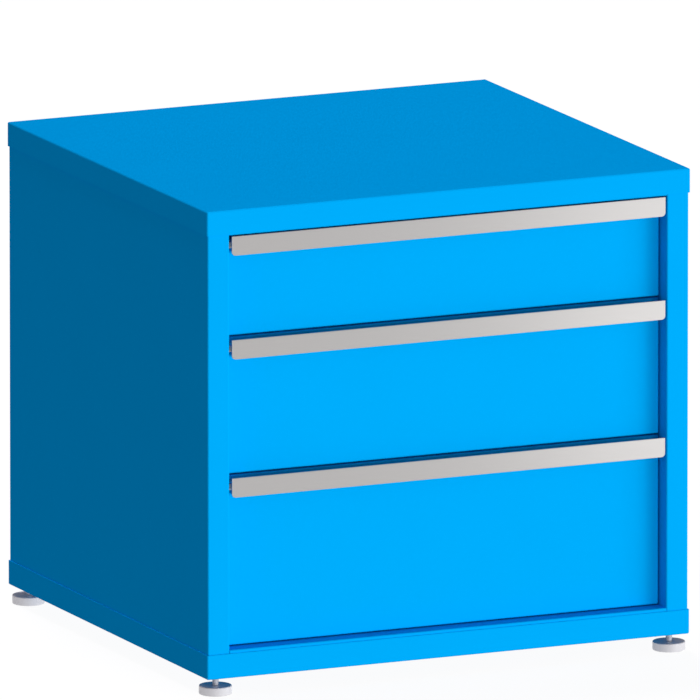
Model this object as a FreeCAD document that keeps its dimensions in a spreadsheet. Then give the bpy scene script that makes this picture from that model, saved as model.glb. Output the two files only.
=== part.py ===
# Modular drawer cabinet: a sheet steel housing between a lid-like cover and a base tray, three
# drawers on telescopic ball slides, full-width metal pulls and four levelling feet.
# Origin on the floor under the middle of the cabinet. +X right, -Y front, +Z up. Millimetres.

import FreeCAD
import Part
import Sketcher
import os
import re

# Driving sizes. Each one stands in the sheet under its own name.
SIZES = {
    # Overall
    "cabinet_width": 762.0,
    "cabinet_depth": 711.2,
    "foot_rise": 25.4,
    # Housing sheet and bands
    "cover_sheet": 1.9,
    "cover_skirt": 35.5,
    "base_skirt": 36.0,
    "cover_bend": 1.6,
    "panel_sheet": 1.5,
    "panel_bend": 1.2,
    "post_return": 40.0,
    "post_lip": 14.0,
    "rear_flange": 20.0,
    # Front opening, in drawer zones from the bottom up
    "post_width": 36.0,
    "rail_height": 40.8,
    "header_height": 37.8,
    "bottom_zone": 253.0,
    "middle_zone": 202.4,
    "top_zone": 151.8,
    "rail_depth": 46.0,
    "rail_flange": 16.0,
    # Slotted uprights that carry the slides
    "upright_sheet": 1.9,
    "upright_width": 40.0,
    "upright_flange": 12.0,
    "front_upright_inset": 78.0,
    "rear_upright_inset": 76.0,
    "slot_pitch": 25.3,
    "slot_width": 5.2,
    "slot_height": 10.0,
    # Back panel screws
    "rear_screw_inset": 10.0,
    # Drawer fronts and pulls
    "front_recess": 25.4,
    "front_side_gap": 2.0,
    "pull_side_gap": 3.2,
    "front_floor_gap": 0.6,
    "bottom_front_gap": 1.6,
    "pull_top_gap": 1.0,
    "pan_top_gap": 0.8,
    "pan_sheet": 1.5,
    "pan_depth": 18.0,
    "pan_lip": 16.0,
    "pull_height": 28.6,
    "pull_wall": 2.4,
    "pull_drop": 7.0,
    "pull_leg": 15.0,
    "pull_bead": 5.0,
    "pull_corner": 6.0,
    "pull_screw_end": 60.0,
    # Drawer boxes
    "drawer_sheet": 1.2,
    "box_lift": 10.0,
    "box_headroom": 36.0,
    "box_tail_gap": 16.0,
    "rail_screw_end": 70.0,
    # Telescopic slides
    "slide_thickness": 12.7,
    "slide_height": 45.6,
    "slide_tail_gap": 11.9,
    "slide_rise": 70.0,
    "slide_setback": 1.0,
    "slide_sheet": 1.6,
    "slide_web_gap": 2.2,
    "slide_reach": 10.5,
    "drawer_rail_reach": 6.1,
    "ball_radius": 2.38,
    "race_clearance": 0.2,
    "race_depth": 0.5,
    "cage_sheet": 0.8,
    "cage_width": 5.8,
    "cage_length": 300.0,
    "cage_clearance": 0.1,
    # Screws and nuts
    "screw_radius": 1.75,
    "screw_length": 5.0,
    "screw_head_radius": 3.4,
    "screw_head_height": 1.5,
    "screw_clearance": 0.15,
    "bolt_radius": 2.4,
    "bolt_length": 8.0,
    "bolt_head_radius": 4.4,
    "bolt_head_height": 1.5,
    "nut_width": 9.0,
    "nut_height": 3.2,
    # Levelling feet
    "foot_inset": 22.5,
    "foot_pad_radius": 23.8,
    "foot_pad_height": 12.7,
    "foot_pad_bevel": 1.5,
    "foot_socket": 7.0,
    "stud_radius": 4.76,
    "stud_reach": 54.0,
    "stud_bevel": 0.8,
    "driver_slot": 1.6,
    "stud_clearance": 0.09,
    "bushing_radius": 8.0,
    "bushing_height": 16.0,
    "bushing_flange_radius": 11.5,
    "bushing_flange": 3.0,
    # Length by which a cutter runs past what it cuts
    "overrun": 1.0,
}

DRAWERS = ("bottom", "middle", "top")
SIDES = {"left": "-", "right": ""}
BALLS_PER_STRIP = 5
REAR_SCREWS_PER_SIDE = 4
RAIL_SCREWS = 3
PULL_SCREWS = 5

# Places and sizes worked out from the driving sizes.
DERIVED = {
    "half_width": "cabinet_width / 2",
    "half_depth": "cabinet_depth / 2",
    "opening_width": "cabinet_width - 2 * post_width",
    "half_opening": "opening_width / 2",
    "opening_floor": "foot_rise + rail_height",
    "bottom_floor": "opening_floor",
    "middle_floor": "bottom_floor + bottom_zone",
    "top_floor": "middle_floor + middle_zone",
    "opening_top": "top_floor + top_zone",
    "cabinet_top": "opening_top + header_height",
    "cover_floor": "cabinet_top - cover_skirt",
    "panel_x": "half_width - cover_sheet",
    "panel_y": "half_depth - cover_sheet",
    "panel_floor": "foot_rise + cover_sheet",
    "panel_top": "cabinet_top - cover_sheet",
    "panel_inside": "panel_x - panel_sheet",
    "back_face": "panel_y - panel_sheet",
    "front_face": "front_recess - half_depth",
    "half_front": "half_opening - front_side_gap",
    "half_pull": "half_opening - pull_side_gap",
    "box_front": "front_face + pan_depth",
    "box_back": "back_face - panel_sheet - box_tail_gap",
    "box_side": "half_opening - slide_thickness",
    "slide_front": "box_front + slide_setback",
    "slide_back": "back_face - panel_sheet - slide_tail_gap",
    "slide_length": "slide_back - slide_front",
    "slide_middle": "(slide_front + slide_back) / 2",
    "ball_pitch": "cage_length / %d" % BALLS_PER_STRIP,
    "race_radius": "ball_radius + race_clearance",
    "race_space": "2 * (race_radius - race_depth)",
    "half_cabinet_rail": "slide_height / 2",
    "half_mid_rail": "half_cabinet_rail - slide_sheet - race_space",
    "half_drawer_rail": "half_mid_rail - slide_sheet - race_space",
    "outer_race": "half_mid_rail + race_space / 2",
    "inner_race": "half_drawer_rail + race_space / 2",
    "mid_web": "slide_sheet + slide_web_gap",
    "outer_ball_line": "(mid_web + slide_reach) / 2",
    "inner_ball_line": "(drawer_rail_reach + slide_reach) / 2 + race_clearance",
    "foot_x": "half_width - foot_inset",
    "foot_y": "half_depth - foot_inset",
    "stud_hole": "stud_radius + stud_clearance",
}

doc = FreeCAD.newDocument("modular_drawer_cabinet")
sheet = doc.addObject("Spreadsheet::Sheet", "sizes")
for row, (size_name, size) in enumerate(SIZES.items(), start=1):
    sheet.set("A%d" % row, size_name)
    sheet.set("B%d" % row, str(size))
    sheet.setAlias("B%d" % row, size_name)
doc.recompute()

subparts = []


# Formulas of named sizes

def formula(text):
    """Turn the names in a formula into references to the sheet."""
    def reference(match):
        word = match.group(0)
        if word in DERIVED:
            return "(" + formula(DERIVED[word]) + ")"
        if word in SIZES:
            return "sizes." + word
        return word
    return re.sub(r"[a-z][a-z_0-9]*", reference, text)


def bind(item, path, text):
    item.setExpression(path, formula(text))


def sided(side, text):
    """The same distance to the left (negative) or right of the middle."""
    return SIDES[side] + "(" + text + ")"


def inward(side, near, far):
    """Low and high X of a stretch that is measured inward from the edge of the opening."""
    if side == "left":
        return ("%s - half_opening" % near, "%s - half_opening" % far)
    return ("half_opening - (%s)" % far, "half_opening - (%s)" % near)


# Bodies made from sketches

def new_body(name):
    body = doc.addObject("PartDesign::Body", name)
    body.Label = name
    subparts.append(body)
    return body


def origin_feature(body, role):
    return next(item for item in body.Origin.OriginFeatures if item.Role == role)


def new_sketch(body, name, plane, level):
    sketch = body.newObject("Sketcher::SketchObject", name)
    sketch.AttachmentSupport = (origin_feature(body, plane), [""])
    sketch.MapMode = "FlatFace"
    bind(sketch, "AttachmentOffset.Base.z", level)
    return sketch


def hold(sketch, kind, geometry, point, text):
    """Hold one coordinate of a point, measured from the sketch's origin."""
    size = sketch.evalExpression(formula(text))
    number = sketch.addConstraint(Sketcher.Constraint(kind, -1, 1, geometry, point, size))
    bind(sketch, "Constraints[%d]" % number, text)


def outline(body, name, plane, corners, level="0"):
    """Closed outline of straight lines; each corner is a pair of formulas."""
    sketch = new_sketch(body, name, plane, level)
    places = []
    for across, up in corners:
        x = sketch.evalExpression(formula(across))
        y = sketch.evalExpression(formula(up))
        places.append(FreeCAD.Vector(x, y, 0))
    count = len(places)
    for index in range(count):
        line = Part.LineSegment(places[index], places[(index + 1) % count])
        sketch.addGeometry(line, False)
    for index in range(count):
        follower = (index + 1) % count
        sketch.addConstraint(Sketcher.Constraint("Coincident", index, 2, follower, 1))
    for index, (across, up) in enumerate(corners):
        hold(sketch, "DistanceX", index, 1, across)
        hold(sketch, "DistanceY", index, 1, up)
    return sketch


def rectangle(body, name, plane, half_across, low, high, level="0"):
    corners = [
        ("-(%s)" % half_across, low),
        (half_across, low),
        (half_across, high),
        ("-(%s)" % half_across, high),
    ]
    return outline(body, name, plane, corners, level)


def circles(body, name, plane, centres, radius, level="0"):
    sketch = new_sketch(body, name, plane, level)
    size = sketch.evalExpression(formula(radius))
    for index, (across, up) in enumerate(centres):
        x = sketch.evalExpression(formula(across))
        y = sketch.evalExpression(formula(up))
        circle = Part.Circle(FreeCAD.Vector(x, y, 0), FreeCAD.Vector(0, 0, 1), size)
        sketch.addGeometry(circle, False)
        number = sketch.addConstraint(Sketcher.Constraint("Radius", index, size))
        bind(sketch, "Constraints[%d]" % number, radius)
        hold(sketch, "DistanceX", index, 3, across)
        hold(sketch, "DistanceY", index, 3, up)
    return sketch


def pad(body, sketch, length, both_ways=False):
    feature = body.newObject("PartDesign::Pad", sketch.Name + "_pad")
    feature.Profile = sketch
    feature.SideType = "Symmetric" if both_ways else "One side"
    bind(feature, "Length", length)
    doc.recompute()
    return feature


def pocket(body, sketch, length, forward=False, both_ways=False):
    """Cut against the sketch's normal, or along it when forward."""
    before = body.Tip.Shape.Volume
    feature = body.newObject("PartDesign::Pocket", sketch.Name + "_pocket")
    feature.Profile = sketch
    feature.SideType = "Symmetric" if both_ways else "One side"
    feature.Reversed = forward
    bind(feature, "Length", length)
    doc.recompute()
    if feature.Shape.Volume >= before:
        raise RuntimeError(sketch.Name + " cuts nothing")
    return feature


def round_edges(body, radius, wanted):
    """Round the edges of the last shape that the test picks."""
    base = body.Tip
    names = ["Edge%d" % (index + 1) for index, edge in enumerate(base.Shape.Edges) if wanted(edge)]
    feature = body.newObject("PartDesign::Fillet", body.Name + "_bends")
    feature.Base = (base, names)
    bind(feature, "Radius", radius)
    doc.recompute()
    return feature


def outer_edge(shape, skip):
    """A test for edges where two outside faces of the shape's box meet."""
    box = shape.BoundBox
    walls = {
        "XMin": (0, box.XMin), "XMax": (0, box.XMax), "YMin": (1, box.YMin),
        "YMax": (1, box.YMax), "ZMin": (2, box.ZMin), "ZMax": (2, box.ZMax),
    }

    def touches(edge, wall):
        axis, place = walls[wall]
        return all(abs(vertex.Point[axis] - place) < 1e-6 for vertex in edge.Vertexes)

    def test(edge):
        if touches(edge, skip):
            return False
        return sum(touches(edge, wall) for wall in walls) == 2
    return test


def upright_edge(places):
    """A test for vertical edges that stand at the given XY places."""
    def test(edge):
        first, last = edge.Vertexes[0].Point, edge.Vertexes[-1].Point
        if abs(first.z - last.z) < 1.0 or abs(first.x - last.x) + abs(first.y - last.y) > 1e-6:
            return False
        return any(abs(first.x - x) + abs(first.y - y) < 1e-6 for x, y in places)
    return test


# Primitives, booleans and groups

def slab(name, x_span, y_span, z_span):
    block = doc.addObject("Part::Box", name)
    for side, axis, (low, high) in (
        ("Length", "x", x_span), ("Width", "y", y_span), ("Height", "z", z_span),
    ):
        bind(block, side, "(%s) - (%s)" % (high, low))
        bind(block, "Placement.Base." + axis, low)
    return block


TURNS = {
    "x": FreeCAD.Rotation(FreeCAD.Vector(0, 1, 0), 90),
    "y": FreeCAD.Rotation(FreeCAD.Vector(1, 0, 0), -90),
    "z": FreeCAD.Rotation(),
}


def rod(name, axis, start, radius, length):
    """Cylinder from its start point along the positive axis."""
    cylinder = doc.addObject("Part::Cylinder", name)
    cylinder.Placement.Rotation = TURNS[axis]
    bind(cylinder, "Radius", radius)
    bind(cylinder, "Height", length)
    for letter, place in zip("xyz", start):
        bind(cylinder, "Placement.Base." + letter, place)
    return cylinder


def ball(name, centre):
    sphere = doc.addObject("Part::Sphere", name)
    bind(sphere, "Radius", "ball_radius")
    for letter, place in zip("xyz", centre):
        bind(sphere, "Placement.Base." + letter, place)
    return sphere


def fuse(name, pieces):
    joined = doc.addObject("Part::MultiFuse", name)
    joined.Shapes = pieces
    joined.Refine = True
    return joined


def cut(name, base, tools):
    cutter = doc.addObject("Part::Compound", name + "_tools")
    cutter.Links = tools
    rest = doc.addObject("Part::Cut", name)
    rest.Base = base
    rest.Tool = cutter
    return rest


def group(name, pieces):
    """One named sub-part of several like, separate solids."""
    together = doc.addObject("Part::Compound", name)
    together.Links = pieces
    together.Label = name
    subparts.append(together)
    return together


def subpart(item, name):
    item.Label = name
    subparts.append(item)


def spaced(low, high, index, count):
    """The place of one of several evenly spaced things, ends included."""
    return "%s + (%s - (%s)) * %d / %d" % (low, high, low, index, count - 1)


# Cover and base tray: two shallow folded trays that lap outside the housing

def make_cover():
    body = new_body("top_cover")
    block = rectangle(body, "cover_block", "XY_Plane", "half_width", "-half_depth", "half_depth",
                      "cover_floor")
    pad(body, block, "cover_skirt")
    round_edges(body, "cover_bend", outer_edge(body.Tip.Shape, skip="ZMin"))
    inside = rectangle(body, "cover_inside", "XY_Plane", "half_width - cover_sheet",
                       "cover_sheet - half_depth", "half_depth - cover_sheet", "cover_floor")
    pocket(body, inside, "cover_skirt - cover_sheet", forward=True)


def make_base_tray():
    body = new_body("base_tray")
    block = rectangle(body, "tray_block", "XY_Plane", "half_width", "-half_depth", "half_depth",
                      "foot_rise")
    pad(body, block, "base_skirt")
    round_edges(body, "cover_bend", outer_edge(body.Tip.Shape, skip="ZMax"))
    inside = rectangle(body, "tray_inside", "XY_Plane", "half_width - cover_sheet",
                       "cover_sheet - half_depth", "half_depth - cover_sheet",
                       "foot_rise + base_skirt")
    pocket(body, inside, "base_skirt - cover_sheet")
    centres = [
        (sided(side, "foot_x"), sided(end, "foot_y")) for side in SIDES for end in SIDES
    ]
    holes = circles(body, "tray_stud_holes", "XY_Plane", centres, "stud_hole", "panel_floor")
    pocket(body, holes, "2 * cover_sheet")


# Side panels: each folds into a front post and a rear flange

def rear_screw_levels():
    count = REAR_SCREWS_PER_SIDE
    return [
        "panel_floor + (panel_top - panel_floor) * (%d + 0.5) / %d" % (index, count)
        for index in range(count)
    ]


def make_side_panel(side):
    body = new_body(side + "_side_panel")
    section = [
        ("panel_x - rear_flange", "panel_y"),
        ("panel_x", "panel_y"),
        ("panel_x", "-panel_y"),
        ("half_opening", "-panel_y"),
        ("half_opening", "post_return - panel_y"),
        ("half_opening + post_lip", "post_return - panel_y"),
        ("half_opening + post_lip", "post_return - panel_sheet - panel_y"),
        ("half_opening + panel_sheet", "post_return - panel_sheet - panel_y"),
        ("half_opening + panel_sheet", "panel_sheet - panel_y"),
        ("panel_inside", "panel_sheet - panel_y"),
        ("panel_inside", "panel_y - panel_sheet"),
        ("panel_x - rear_flange", "panel_y - panel_sheet"),
    ]
    corners = [(sided(side, across), along) for across, along in section]
    sketch = outline(body, side + "_panel_section", "XY_Plane", corners, "panel_floor")
    pad(body, sketch, "panel_top - panel_floor")
    bends = [
        (sketch.evalExpression(formula(corners[index][0])),
         sketch.evalExpression(formula(corners[index][1])))
        for index in (1, 2, 3)
    ]
    round_edges(body, "panel_bend", upright_edge(bends))
    centres = [
        (sided(side, "panel_x - rear_screw_inset"), level) for level in rear_screw_levels()
    ]
    holes = circles(body, side + "_panel_holes", "XZ_Plane", centres,
                    "screw_radius + screw_clearance", "-panel_y")
    pocket(body, holes, "2 * panel_sheet", forward=True)


def make_back_panel():
    body = new_body("back_panel")
    block = rectangle(body, "back_sheet", "XZ_Plane", "panel_inside", "panel_floor", "panel_top",
                      "-back_face")
    pad(body, block, "panel_sheet")
    centres = [
        (sided(side, "panel_x - rear_screw_inset"), level)
        for side in SIDES for level in rear_screw_levels()
    ]
    holes = circles(body, "back_holes", "XZ_Plane", centres,
                    "screw_radius + screw_clearance", "-panel_y")
    pocket(body, holes, "3 * panel_sheet", forward=True)


# Cross rails between the posts, above and below the drawers

def make_cross_rail(name, edge, far, inward_sign):
    """Folded channel: face to the front, ledge along the opening, flange behind."""
    body = new_body(name)
    section = [
        ("-panel_y", far),
        ("-panel_y", edge),
        ("rail_depth - panel_y", edge),
        ("rail_depth - panel_y", "%s %s rail_flange" % (edge, inward_sign)),
        ("rail_depth - panel_sheet - panel_y", "%s %s rail_flange" % (edge, inward_sign)),
        ("rail_depth - panel_sheet - panel_y", "%s %s panel_sheet" % (edge, inward_sign)),
        ("panel_sheet - panel_y", "%s %s panel_sheet" % (edge, inward_sign)),
        ("panel_sheet - panel_y", far),
    ]
    sketch = outline(body, name + "_section", "YZ_Plane", section)
    pad(body, sketch, "opening_width", both_ways=True)


# Slotted uprights

def make_upright(side, name, middle):
    body = new_body(name)
    near = "%s - upright_width / 2" % middle
    far = "%s + upright_width / 2" % middle
    section = [
        ("half_opening", near),
        ("half_opening", far),
        ("panel_inside - upright_sheet", far),
        ("panel_inside - upright_sheet", far + " + upright_flange"),
        ("panel_inside", far + " + upright_flange"),
        ("panel_inside", far + " - upright_sheet"),
        ("half_opening + upright_sheet", far + " - upright_sheet"),
        ("half_opening + upright_sheet", near + " + upright_sheet"),
        ("panel_inside", near + " + upright_sheet"),
        ("panel_inside", near + " - upright_flange"),
        ("panel_inside - upright_sheet", near + " - upright_flange"),
        ("panel_inside - upright_sheet", near),
    ]
    corners = [(sided(side, across), along) for across, along in section]
    sketch = outline(body, name + "_section", "XY_Plane", corners, "panel_floor")
    pad(body, sketch, "panel_top - panel_floor")
    first = "opening_floor + slot_pitch / 2"
    slot = outline(body, name + "_slot", "YZ_Plane", [
        ("%s - slot_width / 2" % middle, first + " - slot_height / 2"),
        ("%s + slot_width / 2" % middle, first + " - slot_height / 2"),
        ("%s + slot_width / 2" % middle, first + " + slot_height / 2"),
        ("%s - slot_width / 2" % middle, first + " + slot_height / 2"),
    ])
    first_cut = pocket(body, slot, "cabinet_width", both_ways=True)
    row = body.newObject("PartDesign::LinearPattern", name + "_slots")
    row.Originals = [first_cut]
    row.Direction = (origin_feature(body, "Z_Axis"), [""])
    row.Mode = "Spacing"
    bind(row, "Offset", "slot_pitch")
    bind(row, "Occurrences",
         "floor((opening_top - opening_floor - slot_height) / slot_pitch) + 1")
    body.Tip = row
    doc.recompute()


# Screws, bolts and nuts

def screw(name, axis, out, seat, size="screw"):
    """Pan-head screw. Its head stands out of the seat along the axis, to + or -."""
    runs = {"x": 0, "y": 1, "z": 2}[axis]
    head_start = list(seat)
    shank_start = list(seat)
    if out == "+":
        shank_start[runs] = "%s - %s_length" % (seat[runs], size)
    else:
        head_start[runs] = "%s - %s_head_height" % (seat[runs], size)
    head = rod(name + "_head", axis, head_start, size + "_head_radius", size + "_head_height")
    shank = rod(name + "_shank", axis, shank_start, size + "_radius", size + "_length")
    return fuse(name, [head, shank])


def make_back_screws():
    screws = []
    for side in SIDES:
        for index, level in enumerate(rear_screw_levels()):
            seat = (sided(side, "panel_x - rear_screw_inset"), "panel_y", level)
            screws.append(screw("back_%s_screw_%d" % (side, index), "y", "+", seat))
    group("back_panel_screws", screws)


UPRIGHT_LINES = {
    "front": "front_upright_inset - half_depth",
    "rear": "half_depth - rear_upright_inset",
}


def slide_level(drawer):
    """Height of a slide's middle: the highest slot within slide_rise above the drawer's floor."""
    slots = "floor((%s_floor + slide_rise - opening_floor) / slot_pitch - 0.5)" % drawer
    return "opening_floor + slot_pitch * (%s + 0.5)" % slots


def make_slide_bolts():
    bolts = []
    nuts = []
    for drawer in DRAWERS:
        level = slide_level(drawer)
        for side in SIDES:
            out = "+" if side == "left" else "-"
            seat_x = inward(side, "slide_sheet", "slide_sheet")[0]
            for line, place in UPRIGHT_LINES.items():
                name = "%s_%s_%s_bolt" % (drawer, side, line)
                bolts.append(screw(name, "x", out, (seat_x, place, level), size="bolt"))
                x_span = inward(side, "-upright_sheet - nut_height", "-upright_sheet")
                plate = slab(name + "_nut_plate", x_span,
                             (place + " - nut_width / 2", place + " + nut_width / 2"),
                             (level + " - nut_width / 2", level + " + nut_width / 2"))
                bore = rod(name + "_nut_bore", "x", (x_span[0], place, level),
                           "bolt_radius", "nut_height")
                nuts.append(cut(name + "_nut", plate, [bore]))
    group("slide_bolts", bolts)
    group("slide_nuts", nuts)


# Telescopic slides: three nested channels with balls between their flanges

def rail(name, side, level, web, reach, half_height, races, holes):
    """Channel with its web on one side, two flanges, ball grooves and screw holes."""
    long_way = ("slide_front", "slide_back")
    top = "%s + %s" % (level, half_height)
    bottom = "%s - %s" % (level, half_height)
    pieces = [
        slab(name + "_web", inward(side, *web), long_way, (bottom, top)),
        slab(name + "_upper_flange", inward(side, *reach), long_way, (top + " - slide_sheet", top)),
        slab(name + "_lower_flange", inward(side, *reach), long_way,
             (bottom, bottom + " + slide_sheet")),
    ]
    tools = []
    for number, (line, race) in enumerate(races):
        for sign in "+-":
            start = (inward(side, line, line)[0], "slide_front - overrun",
                     "%s %s %s" % (level, sign, race))
            groove_name = "%s_race_%d%s" % (name, number, "u" if sign == "+" else "l")
            tools.append(rod(groove_name, "y", start, "race_radius", "slide_length + 2 * overrun"))
    for number, (place, radius) in enumerate(holes):
        start = (inward(side, "-overrun", "slide_thickness + overrun")[0], place, level)
        tools.append(rod("%s_hole_%d" % (name, number), "x", start, radius,
                         "slide_thickness + 2 * overrun"))
    subpart(cut(name, fuse(name + "_channel", pieces), tools), name)


def rail_screw_places():
    low = "slide_front + rail_screw_end"
    high = "slide_back - rail_screw_end"
    return [spaced(low, high, index, RAIL_SCREWS) for index in range(RAIL_SCREWS)]


def make_slide(drawer, side):
    level = slide_level(drawer)
    stem = "%s_%s_" % (drawer, side)
    outer = ("outer_ball_line", "outer_race")
    inner = ("inner_ball_line", "inner_race")
    bolt_holes = [(place, "bolt_radius + screw_clearance") for place in UPRIGHT_LINES.values()]
    screw_holes = [(place, "screw_radius + screw_clearance") for place in rail_screw_places()]
    rail(stem + "cabinet_rail", side, level, ("0", "slide_sheet"), ("0", "slide_reach"),
         "half_cabinet_rail", [outer], bolt_holes)
    rail(stem + "mid_rail", side, level, ("mid_web", "mid_web + slide_sheet"),
         ("mid_web", "slide_reach"), "half_mid_rail", [outer, inner], [])
    rail(stem + "drawer_rail", side, level, ("slide_thickness - slide_sheet", "slide_thickness"),
         ("drawer_rail_reach", "slide_thickness"), "half_drawer_rail", [inner], screw_holes)


def make_cages(drawer, which, line, race):
    """Strips with balls in them, above and below each slide's rails on both sides."""
    level = slide_level(drawer)
    pieces = []
    for side in SIDES:
        middle_x = inward(side, line, line)[0]
        for tier, sign in (("upper", "+"), ("lower", "-")):
            name = "_".join((drawer, which, side, tier))
            height = "%s %s %s" % (level, sign, race)
            strip = slab(name + "_strip",
                         (middle_x + " - cage_width / 2", middle_x + " + cage_width / 2"),
                         ("slide_middle - cage_length / 2", "slide_middle + cage_length / 2"),
                         (height + " - cage_sheet / 2", height + " + cage_sheet / 2"))
            windows = []
            for index in range(BALLS_PER_STRIP):
                step = index - (BALLS_PER_STRIP - 1) / 2
                place = "slide_middle + ball_pitch * %g" % step
                windows.append(rod("%s_window_%d" % (name, index), "z",
                                   (middle_x, place, height + " - cage_sheet"),
                                   "ball_radius + cage_clearance", "2 * cage_sheet"))
                pieces.append(ball("%s_ball_%d" % (name, index), (middle_x, place, height)))
            pieces.append(cut(name + "_cage", strip, windows))
    group("%s_%s_ball_cages" % (drawer, which), pieces)


# Drawers

def pull_top(drawer):
    return "%s_floor + %s_zone - pull_top_gap" % (drawer, drawer)


def front_floor(drawer):
    gap = "bottom_front_gap" if drawer == DRAWERS[0] else "front_floor_gap"
    return "%s_floor + %s" % (drawer, gap)


def pan_top(drawer):
    return pull_top(drawer) + " - pan_top_gap"


def pan_screw_centres(drawer):
    """Places of the screws that hold the front to the box, two up each side."""
    low = "%s_floor + box_lift + pan_lip" % drawer
    high = "%s_floor + %s_zone - box_headroom - pan_lip" % (drawer, drawer)
    return [
        (sided(side, "box_side - pan_lip / 2"), level) for side in SIDES for level in (low, high)
    ]


def pull_screw_centres(drawer):
    level = pull_top(drawer) + " - pull_drop - pull_wall - (pull_leg - pull_wall) / 2"
    low = "pull_screw_end - half_pull"
    high = "half_pull - pull_screw_end"
    return [(spaced(low, high, index, PULL_SCREWS), level) for index in range(PULL_SCREWS)]


def make_front_pan(drawer):
    """Folded pan: face, returns on all four sides and a lip behind each side return."""
    body = new_body(drawer + "_drawer_pan")
    stem = drawer + "_pan_"
    low = front_floor(drawer)
    high = pan_top(drawer)
    block = rectangle(body, stem + "block", "XZ_Plane", "half_front", low, high, "-box_front")
    pad(body, block, "pan_depth")
    mouth = rectangle(body, stem + "mouth", "XZ_Plane", "half_opening - slide_thickness - pan_lip",
                      low + " + pan_sheet", high + " - pan_sheet", "-box_front")
    pocket(body, mouth, "pan_depth - pan_sheet", forward=True)
    hollow = rectangle(body, stem + "hollow", "XZ_Plane", "half_front - pan_sheet",
                       low + " + pan_sheet", high + " - pan_sheet", "pan_sheet - box_front")
    pocket(body, hollow, "pan_depth - 2 * pan_sheet", forward=True)
    lip_holes = circles(body, stem + "lip_holes", "XZ_Plane", pan_screw_centres(drawer),
                        "screw_radius + screw_clearance", "-box_front")
    pocket(body, lip_holes, "2 * pan_sheet", forward=True)
    face_holes = circles(body, stem + "face_holes", "XZ_Plane", pull_screw_centres(drawer),
                         "screw_radius + screw_clearance", "-front_face")
    pocket(body, face_holes, "2 * pan_sheet")


def make_pull(drawer):
    """Extruded pull: a face, a web back to the pan and a leg down the pan."""
    body = new_body(drawer + "_drawer_pull")
    top = pull_top(drawer)
    foot = top + " - pull_height"
    web = top + " - pull_drop"
    section = [
        ("-half_depth", top),
        ("-half_depth", foot),
        ("pull_bead - half_depth", foot),
        ("pull_bead - half_depth", foot + " + pull_wall"),
        ("pull_wall - half_depth", foot + " + pull_wall"),
        ("pull_wall - half_depth", web + " - pull_wall"),
        ("front_face - pull_wall", web + " - pull_wall"),
        ("front_face - pull_wall", web + " - pull_leg"),
        ("front_face", web + " - pull_leg"),
        ("front_face", web),
        ("pull_wall - half_depth", web),
        ("pull_wall - half_depth", top),
    ]
    sketch = outline(body, drawer + "_pull_section", "YZ_Plane", section)
    pad(body, sketch, "2 * half_pull", both_ways=True)
    for side in SIDES:
        trim = corner_trim(body, "%s_pull_%s_corner" % (drawer, side), side, foot)
        pocket(body, trim, "2 * pull_bead", both_ways=True)
    holes = circles(body, drawer + "_pull_holes", "XZ_Plane", pull_screw_centres(drawer),
                    "screw_radius + screw_clearance", "-front_face")
    pocket(body, holes, "2 * pull_wall", forward=True)


def corner_trim(body, name, side, foot):
    """The waste outside a rounded lower corner: two straight edges and the arc between."""
    sketch = new_sketch(body, name, "XZ_Plane", "half_depth")
    edge = sided(side, "half_pull")
    inner = sided(side, "half_pull - pull_corner")
    raised = foot + " + pull_corner"
    corner_x = sketch.evalExpression(formula(edge))
    inner_x = sketch.evalExpression(formula(inner))
    foot_z = sketch.evalExpression(formula(foot))
    raised_z = sketch.evalExpression(formula(raised))
    radius = abs(corner_x - inner_x)
    lean = 0.5 ** 0.5
    middle_x = inner_x + (corner_x - inner_x) * lean
    middle_z = raised_z - radius * lean
    bottom = FreeCAD.Vector(inner_x, foot_z, 0)
    corner = FreeCAD.Vector(corner_x, foot_z, 0)
    raised_point = FreeCAD.Vector(corner_x, raised_z, 0)
    arc = Part.Arc(raised_point, FreeCAD.Vector(middle_x, middle_z, 0), bottom)
    sketch.addGeometry(Part.LineSegment(bottom, corner), False)
    sketch.addGeometry(Part.LineSegment(corner, raised_point), False)
    sketch.addGeometry(arc, False)
    starts_at_raised = (sketch.getPoint(2, 1) - raised_point).Length < radius / 2
    raised_end, bottom_end = (1, 2) if starts_at_raised else (2, 1)
    sketch.addConstraint(Sketcher.Constraint("Coincident", 0, 2, 1, 1))
    sketch.addConstraint(Sketcher.Constraint("Coincident", 1, 2, 2, raised_end))
    sketch.addConstraint(Sketcher.Constraint("Coincident", 0, 1, 2, bottom_end))
    hold(sketch, "DistanceX", 0, 1, inner)
    hold(sketch, "DistanceY", 0, 1, foot)
    hold(sketch, "DistanceX", 0, 2, edge)
    hold(sketch, "DistanceY", 0, 2, foot)
    hold(sketch, "DistanceX", 1, 2, edge)
    hold(sketch, "DistanceY", 1, 2, raised)
    number = sketch.addConstraint(Sketcher.Constraint("Radius", 2, radius))
    bind(sketch, "Constraints[%d]" % number, "pull_corner")
    return sketch


def make_drawer_box(drawer):
    body = new_body(drawer + "_drawer_box")
    stem = drawer + "_box_"
    low = drawer + "_floor + box_lift"
    high = "%s_floor + %s_zone - box_headroom" % (drawer, drawer)
    block = rectangle(body, stem + "block", "XY_Plane", "box_side", "box_front", "box_back", low)
    pad(body, block, "%s - (%s)" % (high, low))
    inside = rectangle(body, stem + "inside", "XY_Plane", "box_side - drawer_sheet",
                       "box_front + drawer_sheet", "box_back - drawer_sheet", high)
    pocket(body, inside, "%s - (%s) - drawer_sheet" % (high, low))
    level = slide_level(drawer)
    side_holes = circles(body, stem + "side_holes", "YZ_Plane",
                         [(place, level) for place in rail_screw_places()],
                         "screw_radius + screw_clearance")
    pocket(body, side_holes, "cabinet_width", both_ways=True)
    front_holes = circles(body, stem + "front_holes", "XZ_Plane", pan_screw_centres(drawer),
                          "screw_radius + screw_clearance", "-box_front")
    pocket(body, front_holes, "2 * drawer_sheet")


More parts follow.
